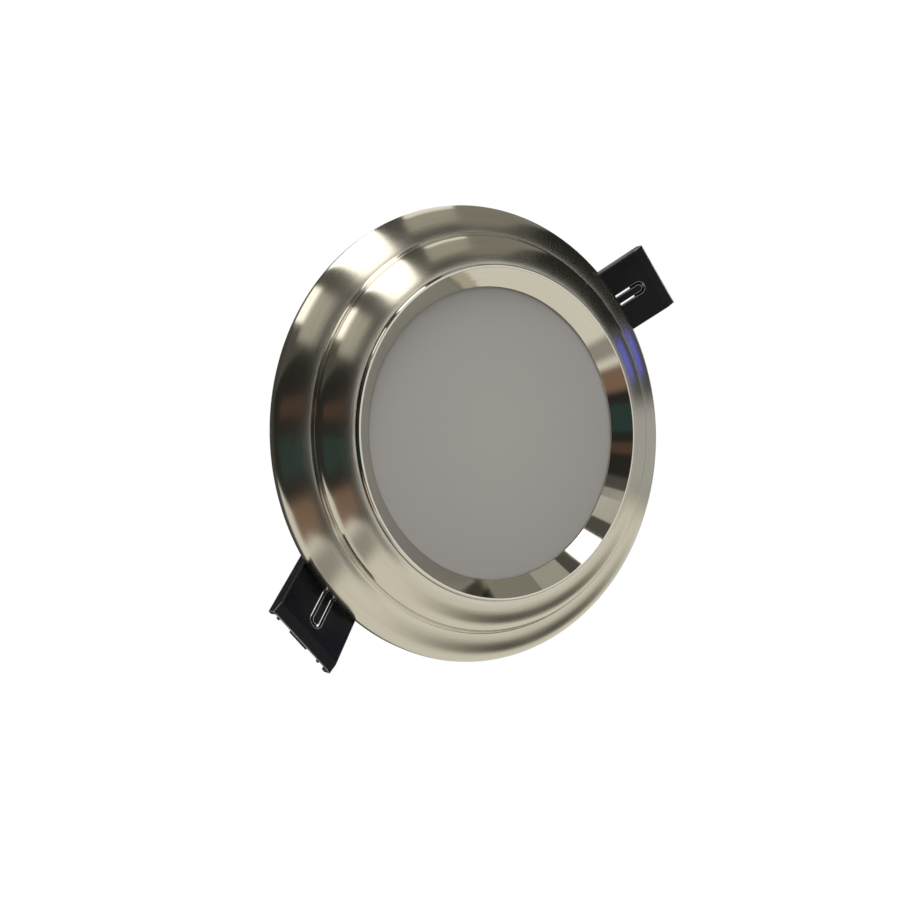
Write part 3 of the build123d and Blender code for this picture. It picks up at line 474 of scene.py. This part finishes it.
# Heat sink: one aluminium die casting. A round base closes the trim ring's neck, a core holds the driver,
# radial fins stand on both sides, and a flat pad on two webs carries each clip.
sink_outline = [(31.5, 36.0, 0.3), (29.0, 36.0, 0.3), (29.0, 14.0, 0.4), (5.0, 14.0, 0.3), (5.0, 8.0, 0.3),
                (44.0, 8.0, 0.4), (44.0, 4.0, 0.2), (52.0, 4.0, 0.2), (52.0, 11.0, 0.4), (51.0, 12.0, 0.4),
                (31.5, 12.0, 0.8)]
fin_sizes = {"Count": 12, "Sides": 2, "Start": math.radians(28), "Arc": math.radians(124),
             "Root radius": 31.0 * mm, "Tip radius": 50.0 * mm, "Low": 11.9 * mm, "High": 36.0 * mm,
             "Thickness": 1.6 * mm, "Slope width": 7.0 * mm, "Slope height": 6.0 * mm}
cover_boss_sizes = {"Count": 3, "Start": math.radians(90), "Circle": 35.5 * mm, "Radius": 3.4 * mm,
                    "Low": 11.9 * mm, "High": 36.0 * mm}
ear_sizes = {"Count": 4, "Start": math.radians(45), "Circle": 54.9 * mm, "Radius": 3.4 * mm,
             "Low": 4.0 * mm, "High": 8.0 * mm}
pad_reach = (45.0, 48.0)
pad_width = (-14.3, 14.3)
pad_height = (11.9, 33.4)
web_reach = (27.5, 47.0)
web_side = (12.7, 14.25)
web_height = (11.9, 33.35)

fin_tree, given = new_grower("body_fins", fin_sizes)
near_middle = 0.1 * mm
length, middle_r = span(fin_tree, given["Root radius"], given["Tip radius"])
height, middle_z = span(fin_tree, given["Low"], given["High"])
plate = wire(fin_tree, "ShaderNodeCombineXYZ", {"X": length, "Y": given["Thickness"], "Z": height})
plate = wire(fin_tree, "GeometryNodeMeshCube", {"Size": plate, "Vertices X": 3})
spot = wire(fin_tree, "ShaderNodeSeparateXYZ", {"Vector": wire(fin_tree, "GeometryNodeInputPosition", {})})
across = spot
up = spot.node.outputs["Z"]
off_middle = wire(fin_tree, "ShaderNodeMath", {0: across}, operation="ABSOLUTE")
is_middle = sum_of(fin_tree, off_middle, near_middle, "LESS_THAN")
is_tip = sum_of(fin_tree, sum_of(fin_tree, across, near_middle, "GREATER_THAN"),
                sum_of(fin_tree, up, 0.0, "GREATER_THAN"), "MULTIPLY")
outwards = sum_of(fin_tree, sum_of(fin_tree, length, 0.5, "MULTIPLY"), given["Slope width"], "SUBTRACT")
drop = sum_of(fin_tree, sum_of(fin_tree, is_tip, given["Slope height"], "MULTIPLY"), -1.0, "MULTIPLY")
shift = wire(fin_tree, "ShaderNodeCombineXYZ",
             {"X": sum_of(fin_tree, is_middle, outwards, "MULTIPLY"), "Z": drop})
plate = wire(fin_tree, "GeometryNodeSetPosition", {"Geometry": plate, "Offset": shift})
plate = moved(fin_tree, plate, middle_z, middle_r)
step = sum_of(fin_tree, given["Arc"], sum_of(fin_tree, given["Count"], 1.0, "SUBTRACT"), "DIVIDE")
one_side = copies_round_axis(fin_tree, plate, given["Count"], given["Start"], step)
side_step = sum_of(fin_tree, 2 * math.pi, given["Sides"], "DIVIDE")
all_fins = copies_round_axis(fin_tree, one_side, given["Sides"], 0.0, side_step)
end_grower(fin_tree, all_fins, given["Finish"])

cast_body = cast_metal("cast_body", (0.40, 0.41, 0.42), (0.52, 0.53, 0.54),
                       roughness=0.46, grain=0.45 * mm, depth=0.05 * mm)
sink = turned("sink_base", sink_outline, cast_body, steps=192)
put(sink, "lamp", "cast_body", "heat_sink")
fins = grown("sink_fins", fin_tree, fin_sizes, cast_body, edge=0.3 * mm)
put(fins, "lamp", "cast_body", "heat_sink")
cover_bosses = grown("sink_cover_bosses", boss_tree, cover_boss_sizes, cast_body, edge=0.25 * mm)
put(cover_bosses, "lamp", "cast_body", "heat_sink")
ears = grown("sink_ears", boss_tree, ear_sizes, cast_body, edge=0.3 * mm)
put(ears, "lamp", "cast_body", "heat_sink")


def blocks(name, boxes, finish, edge):
    """Plain blocks, each from its lowest to its highest corner in millimetres, with their edges eased."""
    shape = bmesh.new()
    for low, high in boxes:
        middle = [(a + b) / 2 * mm for a, b in zip(low, high)]
        stretch = [(b - a) * mm for a, b in zip(low, high)]
        place = Matrix.Translation(middle) @ Matrix.Diagonal((*stretch, 1.0))
        bmesh.ops.create_cube(shape, size=1.0, matrix=place)
    mesh = bpy.data.meshes.new(name)
    shape.to_mesh(mesh)
    shape.free()
    mesh.materials.append(finish)
    return plain(in_scene(name, mesh), edge)


pad_boxes = []
for side in (-1, 1):
    pad_boxes.append((sorted(side * x for x in pad_reach), pad_width, pad_height))
    for web in (-1, 1):
        web_box = (sorted(side * x for x in web_reach), sorted(web * y for y in web_side), web_height)
        pad_boxes.append(web_box)
pads = blocks("sink_pads", [tuple(zip(*box)) for box in pad_boxes], cast_body, 0.3 * mm)
put(pads, "lamp", "cast_body", "heat_sink")

# Driver: a green board in a white liner in the body's well, with its transformer, capacitors, choke, chips,
# fuse and terminal block, and two white leads down to the light board.
# Each row gives a finish's two tints, its roughness, its grain and depth in millimetres, and its solids.
driver_parts = [
    ("white_liner", (0.70, 0.70, 0.68), (0.78, 0.78, 0.76), 0.42, 0.5, 0.02, "driver_liner"),
    ("board_green", (0.016, 0.085, 0.032), (0.026, 0.125, 0.050), 0.34, 0.9, 0.01, "driver_board"),
    ("winding_tape", (0.66, 0.50, 0.08), (0.76, 0.60, 0.13), 0.36, 0.8, 0.02, "transformer"),
    ("capacitor_black", (0.014, 0.014, 0.016), (0.024, 0.024, 0.027), 0.30, 0.6, 0.01, "bulk_capacitor"),
    ("film_yellow", (0.68, 0.47, 0.05), (0.78, 0.56, 0.09), 0.38, 0.5, 0.02, "film_capacitor"),
    ("ferrite", (0.040, 0.040, 0.044), (0.065, 0.065, 0.070), 0.55, 0.3, 0.03, "filter_choke"),
    ("fuse_body", (0.25, 0.36, 0.46), (0.33, 0.45, 0.56), 0.40, 0.4, 0.01, "fuse_resistor"),
    ("chip_black", (0.018, 0.018, 0.019), (0.030, 0.030, 0.031), 0.58, 0.3, 0.03, "bridge_rectifier",
     "control_chip"),
    ("terminal_grey", (0.26, 0.27, 0.28), (0.34, 0.35, 0.36), 0.44, 0.4, 0.02, "terminal_block"),
    ("lead_white", (0.66, 0.66, 0.64), (0.76, 0.76, 0.74), 0.40, 0.6, 0.01, "output_leads"),
]
for name, dark, bright, roughness, grain, depth, *nodes in driver_parts:
    dress(moulded(name, dark, bright, roughness, grain * mm, depth * mm), *nodes)

# Driver cover: a black moulded cap over the driver, with a flange on the body's three screw bosses.
# Its skin is spark-eroded and matt, with a shallow step moulded round its top.
cover_outline = [(40.0, 36.0, 0.2), (40.0, 38.0, 0.2), (39.4, 38.6, 0.2), (32.5, 38.6, 0.6),
                 (32.5, 48.0, 3.0), (26.0, 48.0, 0.15), (25.4, 47.5, 0.15), (24.6, 47.5, 0.15),
                 (24.0, 48.0, 0.15), (7.65, 48.0, 0.2), (7.65, 46.0, 0.1), (30.5, 46.0, 0.8),
                 (30.5, 37.0, 0.2), (31.8, 37.0, 0.2), (31.8, 36.0, 0.2)]
cover_black = moulded("cover_black", (0.018, 0.018, 0.019), (0.030, 0.030, 0.031),
                      roughness=0.52, grain=0.35 * mm, depth=0.04 * mm)
cover = turned("cover_cap", cover_outline, cover_black, steps=192)
put(cover, "lamp", "cover_black", "driver_cover")

# Cable gland: a nylon body screwed through the cover, a rubber seal and a dome nut that closes on the cable.
# The hexagons are for a 19 mm spanner, and the body's thread runs through to a lock nut inside the cover.
gland_black = moulded("gland_black", (0.022, 0.022, 0.023), (0.036, 0.036, 0.037),
                      roughness=0.38, grain=0.6 * mm, depth=0.02 * mm)
gland_edges = {"gland_body": 0.3 * mm, "gland_locknut": 0.2 * mm, "gland_nut": 0.35 * mm}


def eased(name, node, finish, edge, steps=2):
    """A copy of a solid, its triangles joined into whole faces, smooth where it is round, its edges eased."""
    flat_bend = math.radians(0.4)
    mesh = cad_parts[node].data.copy()
    shape = bmesh.new()
    shape.from_mesh(mesh)
    bmesh.ops.remove_doubles(shape, verts=shape.verts, dist=2 * same_point)
    bmesh.ops.dissolve_limit(shape, angle_limit=flat_bend, verts=shape.verts, edges=shape.edges)
    shape.to_mesh(mesh)
    shape.free()
    mesh.materials.clear()
    mesh.materials.append(finish)
    return plain(in_scene(name, mesh), edge, steps)


for node, edge in gland_edges.items():
    put(eased(node + "_moulding", node, gland_black, edge), "lamp", "gland_black", node)
put(eased("gland_seal_rubber", "gland_seal", seal_rubber, 0.3 * mm), "lamp", "grey_rubber", "gland_seal")

# Cross-head screws: zinc-plated steel, with a round head and a cross pressed into it.
# Four hold the body to the trim ring, three the cover, and two each clip's bracket.
screw_sizes = {"Head radius": 2.75 * mm, "Head height": 2.0 * mm, "Cross length": 3.2 * mm,
               "Cross width": 0.7 * mm, "Shank radius": 1.5 * mm, "Shank length": 5.5 * mm, "Seed": 4}
dome_share = 0.98
cross_lift = 0.95
second_bar_drop = 0.05 * mm
widest_spin = 6.28

screw_tree, given = new_grower("cross_head_screws", screw_sizes)
rim = sum_of(screw_tree, given["Head height"], 0.5, "MULTIPLY")
skirt = wire(screw_tree, "GeometryNodeMeshCylinder",
             {"Vertices": 40, "Radius": given["Head radius"], "Depth": rim})
skirt = moved(screw_tree, skirt, sum_of(screw_tree, rim, 0.5, "MULTIPLY"))
dome_radius = sum_of(screw_tree, given["Head radius"], dome_share, "MULTIPLY")
flatten = wire(screw_tree, "ShaderNodeCombineXYZ", {"X": dome_radius, "Y": dome_radius, "Z": rim})
head = wire(screw_tree, "GeometryNodeMeshUVSphere", {"Segments": 40, "Rings": 20, "Radius": 1.0})
head = wire(screw_tree, "GeometryNodeTransform", {"Geometry": head, "Scale": flatten})
bar = wire(screw_tree, "ShaderNodeCombineXYZ",
           {"X": given["Cross length"], "Y": given["Cross width"], "Z": given["Head height"]})
bar = wire(screw_tree, "GeometryNodeMeshCube", {"Size": bar})
bar = moved(screw_tree, bar, sum_of(screw_tree, rim, cross_lift, "MULTIPLY"))
second_bar = wire(screw_tree, "GeometryNodeTransform",
                  {"Geometry": bar, "Translation": (0.0, 0.0, -second_bar_drop),
                   "Rotation": (0.0, 0.0, math.pi / 2)})
for cutter in (bar, second_bar):
    head = wire(screw_tree, "GeometryNodeMeshBoolean", {"Mesh 1": head, "Mesh 2": cutter},
                operation="DIFFERENCE", solver="EXACT")
head = moved(screw_tree, head, rim)
shank = wire(screw_tree, "GeometryNodeMeshCylinder",
             {"Vertices": 24, "Radius": given["Shank radius"], "Depth": given["Shank length"]})
shank = moved(screw_tree, shank, sum_of(screw_tree, given["Shank length"], -0.5, "MULTIPLY"))
screw = wire(screw_tree, "GeometryNodeJoinGeometry", {})
for part in (skirt, head, shank):
    screw_tree.links.new(part, screw.node.inputs[0])
aim = wire(screw_tree, "GeometryNodeInputNamedAttribute", {"Name": "aim"}, data_type="FLOAT_VECTOR")
# Inputs 2 and 3 of a random value are the ends of its range, and output 1 is a plain number.
spin = wire(screw_tree, "FunctionNodeRandomValue", {2: 0.0, 3: widest_spin, "Seed": given["Seed"]}, 1,
            data_type="FLOAT")
stand = wire(screw_tree, "FunctionNodeAlignRotationToVector",
             {"Rotation": turned_by(screw_tree, spin), "Vector": aim}, axis="Z")
all_screws = wire(screw_tree, "GeometryNodeInstanceOnPoints",
                  {"Points": given["Seats"], "Instance": screw, "Rotation": stand})
end_grower(screw_tree, all_screws, given["Finish"])


def screw_set(name, seats, length, finish, seed):
    """Screws on their seats, each seat a point in millimetres and the way the head faces."""
    mesh = bpy.data.meshes.new(name + "_seats")
    mesh.from_pydata([tuple(value * mm for value in point) for point, way in seats], [], [])
    aims = mesh.attributes.new("aim", "FLOAT_VECTOR", "POINT")
    aims.data.foreach_set("vector", [value for point, way in seats for value in way])
    sizes = {**screw_sizes, "Shank length": length * mm, "Seed": seed}
    return grown(name, screw_tree, sizes, finish, seats=mesh)


def on_circle(radius, angle, z):
    """A point on a circle round the lamp's axis, its angle in degrees."""
    return (radius * math.cos(math.radians(angle)), radius * math.sin(math.radians(angle)), z)


plated_steel = cast_metal("plated_steel", (0.55, 0.56, 0.58), (0.66, 0.67, 0.68),
                          roughness=0.28, grain=0.3 * mm, depth=0.01 * mm)
trim_seats = [(on_circle(radius=54.9, angle=45 + 90 * n, z=8.0), (0, 0, 1)) for n in range(4)]
trim_screws = screw_set("trim_screw_set", trim_seats, 10.0, plated_steel, seed=3)
put(trim_screws, "lamp", "plated_steel", "trim_screws")
cover_seats = [(on_circle(radius=35.5, angle=90 + 120 * n, z=38.6), (0, 0, 1)) for n in range(3)]
cover_screws = screw_set("cover_screw_set", cover_seats, 11.0, plated_steel, seed=5)
put(cover_screws, "lamp", "plated_steel", "cover_screws")
dress(plated_steel, "board_screws", "terminal_screws")
bracket_face = 49.2
bracket_screw_heights = (16.2, 29.4)
for clip, way in ((1, 1), (2, -1)):
    seats = [((bracket_face * way, 0, height), (way, 0, 0)) for height in bracket_screw_heights]
    bracket_screws = screw_set(f"bracket_screw_set_{clip}", seats, 5.5, plated_steel, seed=6 + clip)
    put(bracket_screws, "lamp", "plated_steel", f"bracket_screws_{clip}")

# Clip brackets and pins: each bracket is folded from 1.2 mm zinc-plated sheet and screwed to the body's pad.
# The pin is a steel rivet through both its ears, and the spring's coils turn on it.
zinc_sheet = cast_metal("zinc_sheet", (0.50, 0.51, 0.52), (0.62, 0.63, 0.64),
                        roughness=0.34, grain=0.8 * mm, depth=0.01 * mm)
for clip in (1, 2):
    bracket = eased(f"bracket_folded_{clip}", f"clip_bracket_{clip}", zinc_sheet, 0.25 * mm)
    put(bracket, "lamp", "zinc_sheet", f"clip_bracket_{clip}")
    pin = eased(f"pin_rivet_{clip}", f"pivot_pin_{clip}", plated_steel, 0.35 * mm, steps=3)
    put(pin, "lamp", "plated_steel", f"pivot_pin_{clip}")

# Torsion springs: one 1.5 mm wire each, with a leg on the bracket, a coil on the pin and an arm in the sleeve
# on both sides. On the real lamp the coils wind up as the clip swings. Here each wire is split across its
# arms: the arms' far ends and the bridge between them move with the sleeve, and the two coil halves stay
# where they are.
spring_wire = cast_metal("spring_wire", (0.42, 0.42, 0.42), (0.55, 0.55, 0.54),
                         roughness=0.26, grain=0.5 * mm, depth=0.01 * mm)
clip_tilt = math.radians(37.02)
pivot = Vector((55.0, 0.0, 20.4)) * mm
split_reach = 20 * mm
for clip, half_turn in ((1, 0.0), (2, math.pi)):
    facing = Matrix.Rotation(half_turn, 3, "Z")
    along = facing @ Vector((math.cos(clip_tilt), 0.0, -math.sin(clip_tilt)))
    split = facing @ pivot + along * split_reach
    for part, keep_outer, side in (("coil_a", False, 1), ("coil_b", False, -1), ("bridge", True, 0)):
        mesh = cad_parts[f"torsion_spring_{clip}"].data.copy()
        shape = bmesh.new()
        shape.from_mesh(mesh)
        bmesh.ops.remove_doubles(shape, verts=shape.verts, dist=same_point)
        bmesh.ops.bisect_plane(shape, geom=shape.verts[:] + shape.edges[:] + shape.faces[:], plane_co=split,
                               plane_no=along, clear_inner=keep_outer, clear_outer=not keep_outer)
        if side:
            other_half = [v for v in shape.verts if v.co.y * side < 0]
            bmesh.ops.delete(shape, geom=other_half, context="VERTS")
        bmesh.ops.holes_fill(shape, edges=[line for line in shape.edges if line.is_boundary])
        shape.to_mesh(mesh)
        shape.free()
        mesh.materials.clear()
        mesh.materials.append(spring_wire)
        piece = plain(in_scene(f"spring_{part}_{clip}", mesh), 0.0)
        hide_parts(f"torsion_spring_{clip}")
        if side:
            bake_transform(piece)
        else:
            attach(piece, f"clip_{clip}")

# Clip sleeves: black moulded troughs that slip over the springs' arms, so that the ceiling isn't scratched.
# A tongue freed by a U-shaped slot snaps behind the spring's bridge, and the tip is bevelled.
# The sleeves' edges are tinted light grey: a painted highlight for light caught along the edges, on top of a
# little wear.
sleeve_black = moulded("sleeve_black", (0.005, 0.005, 0.006), (0.008, 0.008, 0.010),
                       roughness=0.30, grain=0.4 * mm, depth=0.02 * mm, shine=0.15, wear_and_painted_highlight=0.40)
for clip in (1, 2):
    sleeve = eased(f"sleeve_moulding_{clip}", f"clip_sleeve_{clip}", sleeve_black, 0.12 * mm)
    put(sleeve, f"clip_{clip}", "sleeve_black", f"clip_sleeve_{clip}")

# Camera: below the lamp and to one side of it, where the room side of the trim ring faces it.
# Its focal length is in pixels of a picture that is 900 of them wide.
turn = math.radians(40.9)
facing_room = Matrix(((math.cos(turn), math.sin(turn), 0), (math.sin(turn), -math.cos(turn), 0), (0, 0, -1)))
swing = Matrix.Rotation(math.radians(-0.58), 3, "X") @ Matrix.Rotation(math.radians(31.17), 3, "Y")
stand_off = Vector((12.2, 5.3, -257.5)) * mm
eye = -(swing.transposed() @ stand_off)
focal_pixels = 797.5
picture_pixels = 900
sensor_width = 36.0
camera_data = bpy.data.cameras.new("camera")
camera_data.sensor_width = sensor_width
camera_data.lens = focal_pixels / picture_pixels * sensor_width
camera_data.clip_start = 5 * mm
camera = in_scene("camera", camera_data)
camera.matrix_world = (facing_room @ swing.transposed()).to_4x4()
camera.matrix_world.translation = facing_room @ eye
bpy.context.scene.camera = camera
bpy.context.scene.view_settings.view_transform = "Standard"

# Floor and light: a plain pale floor far below, a white surround, and two soft lamps.
# Floor and surround show pale to the camera and in reflections, and light the lamp at a lower level.
floor_reach = 60
floor_depth = 4.2
floor_glow = 0.42
surround_light = 0.6
soft_lamps = [("lamp_front", (0.2, -0.8, -0.55), 0.6, 6.2), ("lamp_back", (-0.5, 0.4, 0.9), 0.7, 5.0)]


def seen_directly(tree):
    """One for what the camera sees, also mirrored or through something clear, and zero for other light."""
    path = wire(tree, "ShaderNodeLightPath", {})
    seen = sum_of(tree, path, path.node.outputs["Is Glossy Ray"], "MAXIMUM")
    seen = sum_of(tree, seen, path.node.outputs["Is Transmission Ray"], "MAXIMUM")
    straight = sum_of(tree, path.node.outputs["Diffuse Depth"], 0.5, "LESS_THAN")
    return sum_of(tree, seen, straight, "MULTIPLY")


white_world = bpy.data.worlds.new("white_surround")
white_world.use_nodes = True
bpy.context.scene.world = white_world
tree = white_world.node_tree
level = wire(tree, "ShaderNodeMapRange",
             {"Value": seen_directly(tree), "To Min": surround_light, "To Max": 1.0})
tree.links.new(level, tree.nodes["Background"].inputs["Strength"])
tree.nodes["Background"].inputs["Color"].default_value = (1.0, 1.0, 1.0, 1.0)

floor_mesh = bpy.data.meshes.new("floor")
corner_signs = ((-1, -1), (1, -1), (1, 1), (-1, 1))
floor_corners = [(floor_reach * x, floor_reach * y, -floor_depth) for x, y in corner_signs]
floor_mesh.from_pydata(floor_corners, [], [(0, 1, 2, 3)])
pale, tree, shader = new_finish("pale_floor")
shader.inputs["Base Color"].default_value = (0.85, 0.85, 0.84, 1.0)
shader.inputs["Roughness"].default_value = 0.9
shader.inputs["Emission Color"].default_value = (1.0, 1.0, 1.0, 1.0)
glow = sum_of(tree, seen_directly(tree), floor_glow, "MULTIPLY")
tree.links.new(glow, shader.inputs["Emission Strength"])
floor_mesh.materials.append(pale)
floor = in_scene("floor", floor_mesh)

for name, spot, size, watts in soft_lamps:
    light = bpy.data.lights.new(name, "AREA")
    light.size = size
    light.energy = watts
    holder = in_scene(name, light)
    holder.location = spot
    holder.visible_glossy = False
    holder.rotation_euler = Vector(spot).to_track_quat("Z", "Y").to_euler()

# Studio cards: thin panels bent round the lamp that show only where it mirrors them.
# Each has four corners, and stands where the trim ring mirrors it to the camera. A corner is an angle round
# the ring, anticlockwise from the right, and a tilt of the ring's surface from its axis, both in degrees.
mirror_radius = 62 * mm
mirror_height = 8 * mm


def mirrored(angle, tilt, distance):
    """The place, this far away, that the ring mirrors to the camera where its surface has this tilt."""
    ring = Vector((math.cos(math.radians(angle)), math.sin(math.radians(angle)), 0.0))
    face = ring * math.sin(math.radians(tilt)) + Vector((0.0, 0.0, math.cos(math.radians(tilt))))
    spot = ring * mirror_radius + Vector((0.0, 0.0, mirror_height))
    to_eye = (eye - spot).normalized()
    return facing_room @ (spot + (face * (2 * face.dot(to_eye)) - to_eye) * distance)


def card(name, corners, distance, glow, soft_round, soft_tilt, steps=12):
    """One card with its glow. The soft shares are how much of its width and height fades out at each edge."""
    places, faces, maps = [], [], []
    first, second, third, fourth = (Vector(corner) for corner in corners)
    for row in range(steps + 1):
        for column in range(steps + 1):
            low, high = first.lerp(second, row / steps), fourth.lerp(third, row / steps)
            places.append(mirrored(*low.lerp(high, column / steps), distance))
            maps.append((row / steps, column / steps))
    for row in range(steps):
        for column in range(steps):
            corner = row * (steps + 1) + column
            faces.append((corner, corner + 1, corner + steps + 2, corner + steps + 1))
    mesh = bpy.data.meshes.new(name)
    mesh.from_pydata(places, [], faces)
    sheet = mesh.uv_layers.new(name="sheet")
    sheet.uv.foreach_set("vector", [value for face in faces for c in face for value in maps[c]])
    finish, tree, shader = new_finish(name)
    tree.nodes.remove(shader)
    spot = wire(tree, "ShaderNodeSeparateXYZ", {"Vector": wire(tree, "ShaderNodeUVMap", {}, uv_map="sheet")})
    path = wire(tree, "ShaderNodeLightPath", {}, "Diffuse Depth")
    fade = sum_of(tree, path, 0.5, "LESS_THAN")
    for side, soft in ((spot, soft_round), (spot.node.outputs["Y"], soft_tilt)):
        off_middle = sum_of(tree, side, 0.5, "SUBTRACT")
        off_middle = wire(tree, "ShaderNodeMath", {0: off_middle}, operation="ABSOLUTE")
        from_edge = sum_of(tree, 0.5, off_middle, "SUBTRACT")
        ramp = wire(tree, "ShaderNodeMapRange", {"Value": from_edge, "From Max": soft},
                    interpolation_type="SMOOTHSTEP")
        fade = sum_of(tree, fade, ramp, "MULTIPLY")
    light = wire(tree, "ShaderNodeEmission", {"Color": (*glow, 1.0)})
    clear = wire(tree, "ShaderNodeBsdfTransparent", {})
    mixed = wire(tree, "ShaderNodeMixShader", {0: fade, 1: clear, 2: light})
    tree.links.new(mixed, tree.nodes["Material Output"].inputs["Surface"])
    mesh.materials.append(finish)
    panel = in_scene(name, mesh)
    panel.visible_camera = panel.visible_diffuse = panel.visible_shadow = panel.visible_transmission = False


card("reflector_low", [(176, 1), (350, 1), (350, 88), (176, 88)], 3.70, (0.88, 0.86, 0.78), 0.12, 0.02)
card("flag_top", [(-40, 0), (186, 0), (186, 88), (-40, 88)], 3.80, (0.10, 0.097, 0.087), 0.03, 0.01)
card("flag_right_back", [(-62, 30), (62, 30), (62, 88), (-62, 88)], 3.60, (0.58, 0.585, 0.60), 0.15, 0.15)
card("card_right", [(336, 0), (376, 0), (376, 32), (336, 32)], 3.50, (0.52, 0.52, 0.52), 0.25, 0.1)
card("flag_left", [(155, 0), (212, 0), (186, 86), (176, 86)], 3.50, (0.030, 0.029, 0.026), 0.06, 0.02)
card("flag_low", [(222, 6), (336, 6), (336, 29), (230, 30)], 3.50, (0.11, 0.104, 0.083), 0.4, 0.35)
card("flag_front", [(30, 0), (232, 0), (224, 7), (36, 7)], 3.45, (0.03, 0.03, 0.027), 0.05, 0.3)
card("flag_behind", [(0, 62), (360, 62), (360, 96), (0, 96)], 3.30, (0.07, 0.07, 0.065), 0.001, 0.3)
card("flag_dark_right", [(36, 0), (84, 0), (74, 60), (36, 60)], 3.40, (0.025, 0.025, 0.022), 0.12, 0.02)
card("card_olive", [(90, 5), (104, 3), (104, 88), (72, 40)], 3.30, (0.29, 0.28, 0.24), 0.05, 0.08)
card("lamp_c", [(103, 34), (118, 34), (118, 84), (103, 84)], 3.00, (1.1, 1.07, 0.98), 0.04, 0.2)
card("card_c", [(103, 8), (119, 8), (119, 40), (103, 40)], 3.10, (0.46, 0.45, 0.39), 0.04, 0.25)
card("lamp_a", [(125, 1), (138, 1), (142, 84), (126, 84)], 3.00, (2.4, 2.35, 2.25), 0.05, 0.05)
card("lamp_b", [(146, 32), (156, 32), (156, 84), (146, 84)], 3.00, (1.9, 1.85, 1.75), 0.05, 0.2)
card("card_b", [(146, 6), (160, 6), (160, 40), (146, 40)], 3.10, (0.54, 0.53, 0.47), 0.05, 0.25)
card("card_blue", [(18, 4), (36, 4), (36, 17), (18, 17)], 3.00, (0.17, 0.20, 1.0), 0.2, 0.3)
card("card_brown_low", [(194, 3), (206, 3), (209, 46), (195, 46)], 3.00, (0.26, 0.172, 0.12), 0.3, 0.2)
card("card_grey_low", [(206, 3), (218, 3), (221, 46), (208, 46)], 3.00, (0.38, 0.37, 0.335), 0.35, 0.2)
card("card_teal", [(181, 3), (191, 3), (194, 46), (180, 46)], 3.00, (0.035, 0.060, 0.055), 0.2, 0.1)
card("card_brown", [(170, 3), (178, 3), (179, 46), (173, 46)], 3.00, (0.10, 0.062, 0.045), 0.35, 0.2)
